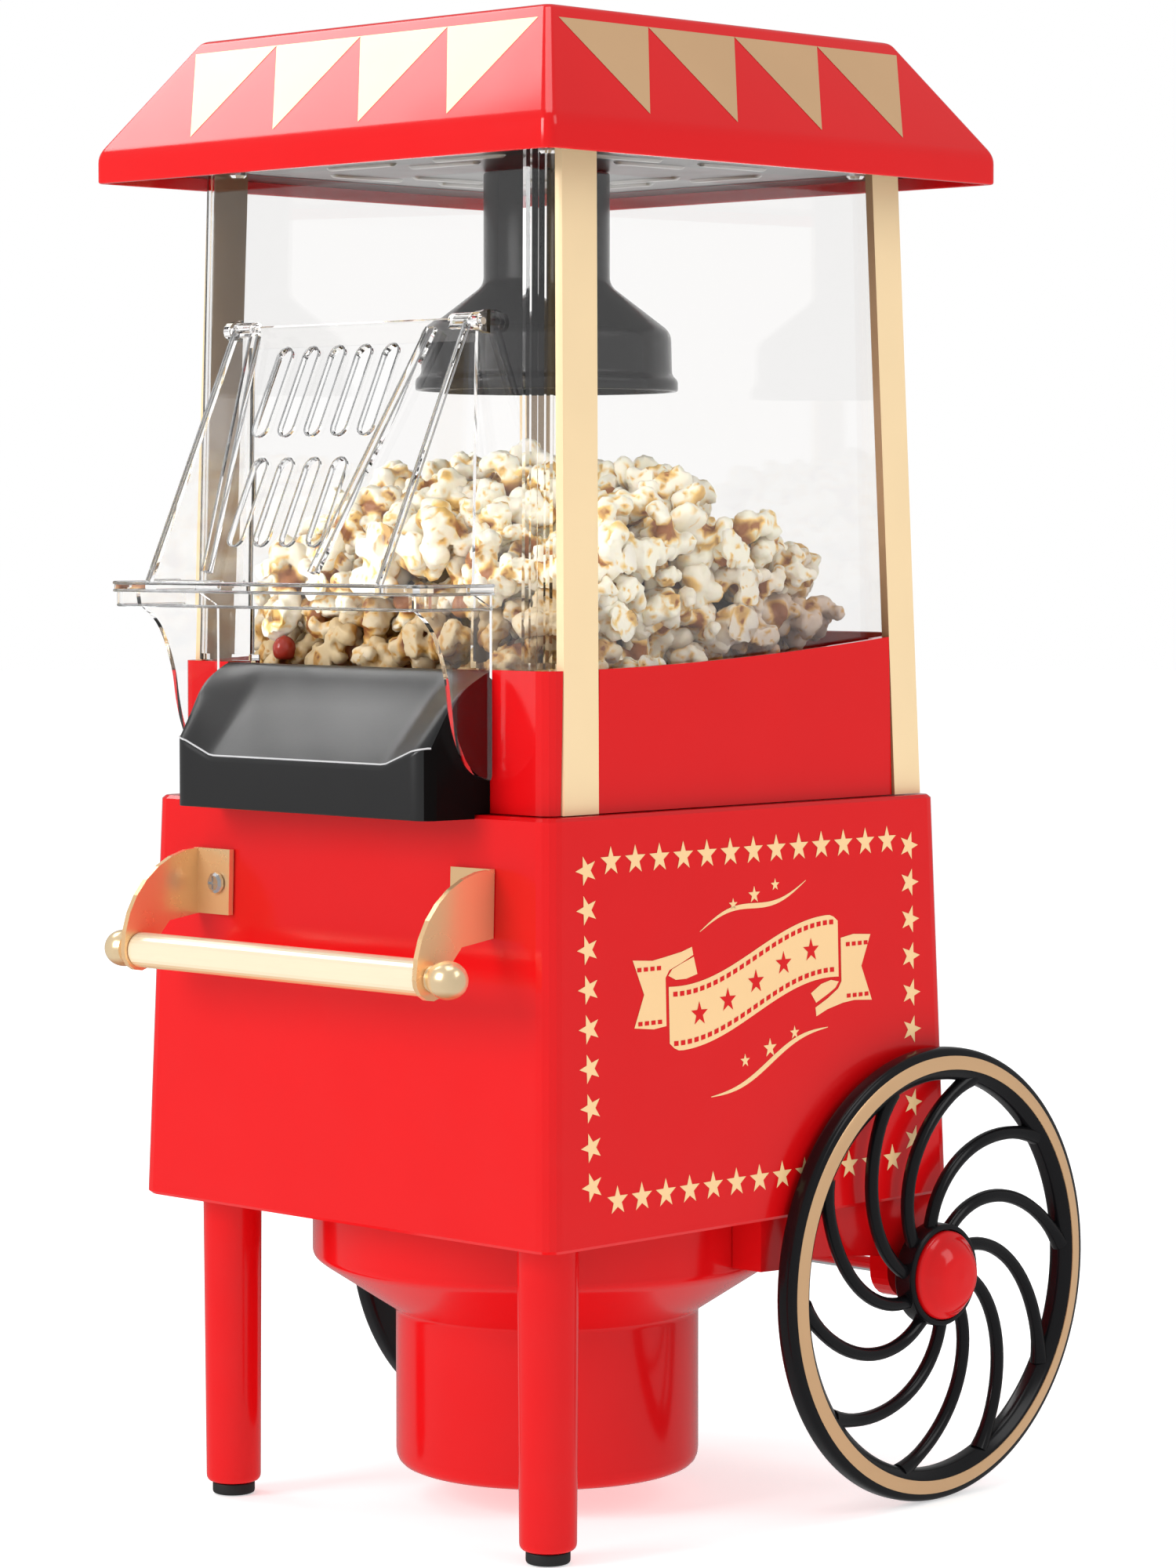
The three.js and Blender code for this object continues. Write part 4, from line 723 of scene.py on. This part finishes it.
for side_name, side in (("right", 1), ("left", -1)):
    hub_at = (0, WHEEL_Y, WHEEL_Z)
    body = f"{side_name}_wheel"
    rim = skin(turned(rim_outline, 160, "X", hub_at, side), loop=True)
    hub = skin(turned(hub_outline, 64, "X", hub_at, side), loop=True)
    spokes = []
    for index in range(SPOKES):
        path, radii = [], []
        for k in range(25):
            t = k / 24
            reach = lerp(SPOKE_FROM, SPOKE_TO, t)
            angle = math.radians(SPOKE_END + 360 / SPOKES * index + SPOKE_TURN * (SPOKE_END_REACH - reach))
            y = WHEEL_Y + side * reach * math.cos(angle)
            path.append((side * SPOKE_X, y, WHEEL_Z + reach * math.sin(angle)))
            radii.append(spoke_ring_radius(t))
        spokes.append(skin(rod(path, radii)))
    wheel = merge(rim, hub, *spokes)
    piece(f"wheel_skin_{side_name}", *wheel, BLACK, body, "black_plastic", replaces=[f"wheel_{side_name}"])
    ring = skin(turned(ring_outline, 160, "X", hub_at, side), loop=True)
    piece(f"wheel_ring_{side_name}", *ring, FOIL, body, "cream_gold_trim")
    cap = skin(turned(cap_outline, 64, "X", hub_at, side), caps=False)
    piece(f"cap_skin_{side_name}", *cap, RED, body, "red_plastic", replaces=[f"hub_cap_{side_name}"])

# ---------------------------------------------------------------- push handle
HANDLE_Y, HANDLE_Z = -125.0, 194.7
ball_outline = rounded([
    (0.0, 72.6, 0), (4.6, 72.6, 0.4), (4.6, 73.6, 0.4), (3.1, 74.2, 0.4), (3.4, 74.9, 0.3),
    (5.5, 75.9, 0), (6.5, 79.0, 2.6), (5.6, 83.4, 2.6), (3.0, 85.7, 1.5), (0.0, 86.0, 0),
], 8)
for side_name, side in (("right", 1), ("left", -1)):
    knob = skin(turned(ball_outline, 48, "X", (0, HANDLE_Y, HANDLE_Z), side), caps=False)
    ball = f"handle_ball_{side_name}"
    piece(f"handle_knob_{side_name}", *knob, KNOB_GOLD, "machine", "brass_plate", replaces=[ball])


# ---------------------------------------------------------------- prints on the side walls
WALL_TOP = (96.4, 245.2)  # the side wall's distance out and height at its top
WALL_BOTTOM = (100.3, 105.8)


def on_wall(side, along, z, lift):
    """Point on a side wall; along grows towards the rear on the right side, towards the front on the left."""
    out = lerp(WALL_TOP[0], WALL_BOTTOM[0], (WALL_TOP[1] - z) / (WALL_TOP[1] - WALL_BOTTOM[1])) + lift
    return (side * out, side * along, z)


def star(centre_y, centre_z, radius, point_at=90.0, waist=0.40):
    corners = []
    for k in range(10):
        reach = radius if k % 2 == 0 else radius * waist
        angle = math.radians(point_at + 36 * k)
        corners.append((centre_y + reach * math.cos(angle), centre_z + reach * math.sin(angle)))
    return corners


STAR = 5.0
MARKS_LIFT = 0.2
ROW_COUNT, ROW_PITCH, ROW_HEIGHTS = 13, 11.42, (230.4, 120.5)
COLUMN_COUNT, COLUMN_PITCH, COLUMN_TOP, COLUMN_Y = 9, 12.75, 228.0, 80.0


def border_stars():
    shapes = []
    for z in ROW_HEIGHTS:
        shapes += [star((k - (ROW_COUNT - 1) / 2) * ROW_PITCH, z, STAR) for k in range(ROW_COUNT)]
    for k in range(COLUMN_COUNT):
        z = COLUMN_TOP - k * COLUMN_PITCH
        shapes += [star(-COLUMN_Y, z, STAR, 180), star(COLUMN_Y, z, STAR, 0)]
    return shapes


BAND_Z, BAND_WAVE, BAND_REACH = 186.6, 9.4, 38
BAND_HALF = 10.6
BAND_START, BAND_LENGTH, BAND_STEPS = -42.5, 84.5, 40
# Each tail's outline and the fold behind it, as (along the wall, height).
TAIL_LEFT = [
    (-59.3, 197.7), (-50, 197.0), (-44, 197.8), (-36, 199.0), (-31, 200.3), (-30.4, 197.6), (-36, 195.4),
    (-42, 193.4), (-43.9, 191.0), (-43.9, 175.2), (-50, 174.6), (-59.1, 175.6), (-54.2, 186.2),
]
FOLD_LEFT = [
    (-42.6, 191.6), (-40.6, 193.6), (-36, 195.2), (-30.2, 197.0), (-28.6, 191.2), (-34, 190.0), (-39, 190.0),
]
TAIL_RIGHT = [
    (59.1, 176.1), (50, 176.7), (44, 176.2), (36, 174.6), (30.2, 172.6), (29.8, 175.6), (36, 178.2),
    (41.6, 181.2), (43.4, 183.6), (43.4, 198.4), (50, 199.3), (58.9, 198.7), (53.9, 188.1),
]
FOLD_RIGHT = [
    (42.0, 183.6), (40.2, 181.6), (36, 179.6), (30.2, 177.2), (27.6, 180.6), (33, 183.4), (38, 184.4),
]


def band_middle(y):
    return BAND_Z + BAND_WAVE * math.sin(math.pi / 2 * max(-1.1, min(1.1, y / BAND_REACH)))


def band_edge(sign):
    """Upper (1) or lower (-1) edge of the band, drawn in a little at the end that rolls away."""
    edge = []
    for k in range(BAND_STEPS + 1):
        y = BAND_START + BAND_LENGTH * k / BAND_STEPS
        roll = 2.6 * max(0, (abs(y) - 37) / 5.5) ** 2 if sign * y > 0 else 0
        edge.append((y, band_middle(y) + sign * (BAND_HALF - roll)))
    return edge


def ribbon():
    """Plain waved banner with two folded, notched tails."""
    band = band_edge(-1) + band_edge(1)[::-1]
    return [band, TAIL_LEFT, FOLD_LEFT, TAIL_RIGHT, FOLD_RIGHT]


def mark(y, z, half_width, half_height, slope=0.0):
    """Small four-sided mark, sheared to follow a slope."""
    corners = ((-half_width, -half_height), (half_width, -half_height),
               (half_width, half_height), (-half_width, half_height))
    return [(y + across, z + up + across * slope) for across, up in corners]


def edge_marks():
    """Rows of marks along the band's edges and the tails' edges."""
    marks = []
    for sign in (-1, 1):
        for k in range(25):
            y = -39.4 + k * 3.25
            slope = (band_middle(y + 1) - band_middle(y - 1)) / 2
            marks.append(mark(y, band_middle(y) + sign * (BAND_HALF - 2.5), 1.05, 0.8, slope))
    for sign in (-1, 1):
        for top in (-1, 1):
            for k in range(4):
                marks.append(mark(sign * (47.0 + k * 3.1), 186.4 + top * 8.8 + sign * 0.8, 1.0, 0.7))
    return marks


def swash(start, end, sway, width):
    """Thin leaf-shaped stroke, thickest in its middle."""
    upper, lower = [], []
    for k in range(25):
        t = k / 24
        y = lerp(start[0], end[0], t)
        z = lerp(start[1], end[1], t) + sway * math.sin(2 * math.pi * t)
        half = width * math.sin(math.pi * t) + 0.12
        upper.append((y, z + half))
        lower.append((y, z - half))
    return lower + upper[::-1]


def print_shapes(name, shapes, mat, side, lift, slot):
    points, faces = [], []
    for shape in shapes:
        base = len(points)
        points += [on_wall(side, along, z, lift) for along, z in shape]
        faces.append(tuple(range(base, len(points))))
    piece(name, points, faces, mat, "machine", slot)


ORNAMENTS = [
    swash((-27, 205.0), (26, 219.0), 2.4, 0.75),
    star(0, 215.6, 3.0), star(-10.5, 213.0, 2.2), star(10.5, 218.4, 2.2),
    swash((-23, 150.0), (36, 168.5), -2.2, 0.9),
    star(6.5, 163.8, 3.4), star(-6.0, 160.6, 2.4), star(19.0, 168.0, 2.4),
]
BAND_STARS = [star(y, band_middle(y), 4.2) for y in (-28, -14, 0, 14, 28)]
for side_name, side in (("right", 1), ("left", -1)):
    print_shapes(f"stars_{side_name}", border_stars(), CREAM, side, PRINT_LIFT, "cream_gold_trim")
    print_shapes(f"ribbon_{side_name}", ribbon() + ORNAMENTS, CREAM, side, PRINT_LIFT, "cream_gold_trim")
    print_shapes(f"ribbon_marks_{side_name}", edge_marks() + BAND_STARS, RED, side, MARKS_LIFT, "red_plastic")

# ---------------------------------------------------------------- popped corn
random.seed(7)
HEAP_TOP, HEAP_DROP, HEAP_RADIUS, REAR_DROP = 360.0, 32.0, 90.0, 9.0
CORN_BOX = ((-79.3, 79.3), (-83.5, 83.0))
RAW_PLACE, RAW_ROOM = Vector((-46.9, -80.3, 296.7)), 12
KERNEL_SHAPES = 14
KERNEL_SPACING, PLACE_TRIES = 12.4, 40000
SHELL_DEPTH = 15  # kernels lie in the heap's outer layer, this deep from above
# Metaballs shrink where they are drawn, so their radii are given larger than the lumps they make.
LUMP_GROWTH, HOLLOW_GROWTH = 1.42, 1.5
HEART_SIZE, PETAL_START = 3.2, 3.4
CREASE_WIDTH, CREASE_DEPTH = 0.12, 6.0
# A kernel is warmest at its heart, up to HEART_WARM from its middle, and in its stains; its creases are
# painted warmer as painted shade.
HEART_WARM, HEART_FADE, STAIN, CREASE_SHADE = 6.0, 3.4, 0.55, 6
SCATTER_X, SCATTER_Y, SCATTER_LOW = (-74, 74), (-77, 76), 286
SIDE_X, SIDE_Y, SIDE_RADIUS = 56, 58, 76  # beyond any of these a place is at the heap's side
FULL_TURN = 6.28


def heap(x, y):
    """Height of the heap's surface."""
    r = math.hypot(x, y)
    unevenness = 5 * noise.noise(Vector((x, y, 3.7)) * 0.03)
    dome = HEAP_TOP - HEAP_DROP * (r / HEAP_RADIUS) ** 2
    return dome + unevenness - max(0, r - HEAP_RADIUS) * 4.5 - REAR_DROP * ease(y / 60)


def petal(source):
    """Balls along one curled petal, from near the heart outwards, and the hollow in its curl."""
    heading = Vector([source.gauss(0, 1) for _ in range(3)]).normalized()
    curl = Matrix.Rotation(math.radians(source.uniform(25, 60)), 3, heading.orthogonal())
    spin = Matrix.Rotation(source.uniform(0, FULL_TURN), 3, heading)
    curl = spin @ curl @ spin.inverted()
    across = heading.cross(curl @ heading).normalized()
    size = source.uniform(2.3, 3.3)
    centre = heading * PETAL_START
    balls = []
    for _ in range(source.randint(2, 4)):
        balls.append((centre.copy(), size * source.uniform(0.9, 1.25)))
        if source.random() < 0.5:
            beside = across * size * source.choice((-1.15, 1.15))
            balls.append((centre + beside, size * source.uniform(0.7, 1.0)))
        heading = curl @ heading
        centre += heading * size * 1.2
    hollow = (centre + across.cross(heading) * size * 1.3, size * source.uniform(1.0, 1.3))
    return balls, hollow


def popped(seed):
    """One popped kernel: petals curling out of a small heart, with how warm each point's colour is.

    Returns its points, its faces and a warmth from 0 (white) up for each point.
    """
    source = random.Random(seed)
    balls = [(Vector((0, 0, 0)), HEART_SIZE)]
    hollows = []
    for _ in range(source.randint(4, 6)):
        more, hollow = petal(source)
        balls += more
        hollows.append(hollow)
    ball = bpy.data.metaballs.new("kernel")
    ball.resolution = 1.25
    ball.threshold = 0.6
    lumps = [(*lump, LUMP_GROWTH, 7, False) for lump in balls]
    lumps += [(*hollow, HOLLOW_GROWTH, 4, True) for hollow in hollows]
    for centre, radius, growth, stiffness, negative in lumps:
        element = ball.elements.new()
        element.co = centre
        element.radius = radius * growth
        element.stiffness = stiffness
        element.use_negative = negative
    holder = bpy.data.objects.new("kernel", ball)
    COLLECTION.objects.link(holder)
    bpy.context.view_layer.update()
    mesh = bpy.data.meshes.new_from_object(holder.evaluated_get(bpy.context.evaluated_depsgraph_get()))
    bpy.data.objects.remove(holder)
    bpy.data.metaballs.remove(ball)
    points, warmth = [], []
    for vertex in mesh.vertices:
        p = vertex.co.copy()
        lump = noise.noise(p * 0.34 + Vector((seed, 0, 0)))
        crease = abs(noise.noise(p * 0.17 + Vector((0, seed, 5))))
        p += vertex.normal * (0.8 * lump - CREASE_DEPTH * max(0, CREASE_WIDTH - crease))
        points.append(p)
        heart = ease((HEART_WARM - p.length) / HEART_FADE)
        stain = ease((noise.noise(p * 0.16 + Vector((9, seed, 0))) - 0.18) / 0.3)
        # The crease term is painted shade.
        warmth.append(min(1, heart + STAIN * stain + CREASE_SHADE * max(0, 0.10 - crease)))
    faces = [tuple(f.vertices) for f in mesh.polygons]
    bpy.data.meshes.remove(mesh)
    return points, faces, warmth


KERNELS = [popped(seed) for seed in range(KERNEL_SHAPES)]


def scatter():
    """Places for kernels through the outer layers of the heap, kept apart from each other."""
    kept = []
    cells = {}
    for _ in range(PLACE_TRIES):
        x = random.uniform(*SCATTER_X)
        y = random.uniform(*SCATTER_Y)
        top = heap(x, y)
        z = random.uniform(SCATTER_LOW, max(SCATTER_LOW + 1, top))
        if z > top:
            continue
        here = Vector((x, y, z))
        if (here - RAW_PLACE).length < RAW_ROOM:
            continue
        near_top = top - z < SHELL_DEPTH
        near_side = max(abs(x) - SIDE_X, abs(y) - SIDE_Y, math.hypot(x, y) - SIDE_RADIUS) > 0
        if not (near_top or near_side):
            continue
        key = tuple(int(c // KERNEL_SPACING) for c in (x, y, z))
        around = [tuple(k + d for k, d in zip(key, step)) for step in itertools.product((-1, 0, 1), repeat=3)]
        others = [other for cell in around for other in cells.get(cell, ())]
        if any((other - here).length < KERNEL_SPACING for other in others):
            continue
        cells.setdefault(key, []).append(here)
        kept.append(here)
    return kept


def popcorn_material():
    """Cream that turns tan and brown with the warmth attribute and is darkened by the shade attribute, which
    holds painted shade.
    """
    mat = material("popped_corn", srgb(255, 248, 228), rough=0.55, shade=0.05, shade_scale=300, grain=0.05,
                   grain_scale=700, tilt=0.3, tilt_scale=260)
    tree = mat.node_tree
    shader = principled(mat)
    base = shader.inputs["Base Color"].links[0].from_socket
    warm = tree.nodes.new("ShaderNodeAttribute")
    warm.attribute_name = "warmth"
    ramp = tree.nodes.new("ShaderNodeValToRGB")
    ramp.color_ramp.elements[0].position = 0.1
    ramp.color_ramp.elements[0].color = (1, 1, 1, 1)
    ramp.color_ramp.elements[1].position = 0.85
    ramp.color_ramp.elements[1].color = (0.36, 0.13, 0.03, 1)
    middle = ramp.color_ramp.elements.new(0.42)
    middle.color = (0.93, 0.66, 0.26, 1)
    shade = tree.nodes.new("ShaderNodeAttribute")
    shade.attribute_name = "shade"
    darker = multiply_node(tree)
    warmed = multiply_node(tree)
    tree.links.new(warm.outputs["Fac"], ramp.inputs["Fac"])
    tree.links.new(base, warmed.inputs[MIX_A])
    tree.links.new(ramp.outputs[0], warmed.inputs[MIX_B])
    tree.links.new(warmed.outputs[MIX_RESULT], darker.inputs[MIX_A])
    tree.links.new(shade.outputs["Color"], darker.inputs[MIX_B])
    tree.links.new(darker.outputs[MIX_RESULT], shader.inputs["Base Color"])
    shader.inputs["Subsurface Weight"].default_value = 0.25
    shader.inputs["Subsurface Radius"].default_value = (0.004, 0.003, 0.0015)
    shader.inputs["Subsurface Scale"].default_value = 1.0
    return mat


POPCORN = popcorn_material()
(LOW_X, HIGH_X), (LOW_Y, HIGH_Y) = CORN_BOX
places = scatter()
GROUPS = 4
# Painted shade: kernels low at the rear of the heap are darkened and tinted pink as a painted reflection of
# the red tub; kernels low at the front are darkened and browned.
REAR_SHADE_TINT = (0.42, 0.25, 0.23)  # shade low at the rear
FRONT_SHADE_TINT = (0.50, 0.40, 0.27)  # shade low at the front
for group in range(GROUPS):
    points, faces, warmths, painted_shades = [], [], [], []
    for index, centre in enumerate(places[group::GROUPS]):
        kernel_points, kernel_faces, warmth = KERNELS[(index * 5 + group) % len(KERNELS)]
        tumble = Matrix.Rotation(random.uniform(0, FULL_TURN), 3, "X")
        turn = tumble @ Matrix.Rotation(random.uniform(0, FULL_TURN), 3, "Z")
        size = random.uniform(0.92, 1.3)
        tan = random.uniform(-0.04, 0.07)
        rear_shade = ease((centre.y + 30) / 90) * ease((335 - centre.z) / 45)
        front_shade = ease((-40 - centre.y) / 25) * ease((322 - centre.z) / 26)
        shade = [lerp(lerp(1, REAR_SHADE_TINT[i], rear_shade), FRONT_SHADE_TINT[i], front_shade) for i in range(3)] + [1]
        base = len(points)
        for p, w in zip(kernel_points, warmth):
            q = centre + (turn @ p) * size
            points.append((min(HIGH_X, max(LOW_X, q.x)), min(HIGH_Y, max(LOW_Y, q.y)), q.z))
            warmths.append(max(0.0, w + tan))
            painted_shades.extend(shade)
        faces.extend(tuple(base + i for i in face) for face in kernel_faces)
    corn = piece(f"popped_corn_{group + 1}", points, faces, POPCORN, "machine", degrees=80)
    warmth_values = corn.data.attributes.new("warmth", "FLOAT", "POINT")
    warmth_values.data.foreach_set("value", warmths)
    painted_shade_values = corn.data.attributes.new("shade", "FLOAT_COLOR", "POINT")
    painted_shade_values.data.foreach_set("color", painted_shades)

# One kernel that never popped lies at the front of the heap.
RAW_CORN = material("raw_corn", srgb(150, 44, 30), rough=0.16, shade=0.3, shade_scale=220, grain=0.02)
raw_outline = rounded([(0.0, -4.2, 0), (3.4, -3.6, 1.6), (4.3, 0.6, 2.0), (2.6, 3.6, 1.4), (0.0, 4.6, 0)])
raw_kernel = skin(turned(raw_outline, 32, origin=RAW_PLACE), caps=False)
piece("raw_kernel", *raw_kernel, RAW_CORN, "machine")

# Dark mound under the kernels, so that no light comes through between them; its dark brown is painted shade
# for the gaps between kernels.
MOUND_FLOOR, MOUND_DEPTH = 252, 22
MOUND_REACH, MOUND_HALF_X, MOUND_HALF_Y = (2, 76), 60, 62
mound_rings = []
for k in range(13):
    reach = lerp(*MOUND_REACH, k / 12)
    ring = []
    for a in range(48):
        angle = 2 * math.pi * a / 48
        x = max(-MOUND_HALF_X, min(MOUND_HALF_X, reach * math.cos(angle)))
        y = max(-MOUND_HALF_Y, min(MOUND_HALF_Y, reach * math.sin(angle)))
        ring.append((x, y, max(MOUND_FLOOR, heap(x, y) - MOUND_DEPTH)))
    mound_rings.append(ring)
mound_rings.append([(x, y, MOUND_FLOOR) for x, y, _ in mound_rings[-1]])
UNDER_SHADE = material("corn_depths_shade", srgb(66, 40, 24), rough=0.7, shade=0.3, shade_scale=160, grain=0.3,
                 grain_scale=300)
piece("popped_corn_under", *skin(mound_rings, caps=False), UNDER_SHADE, "machine", degrees=80)
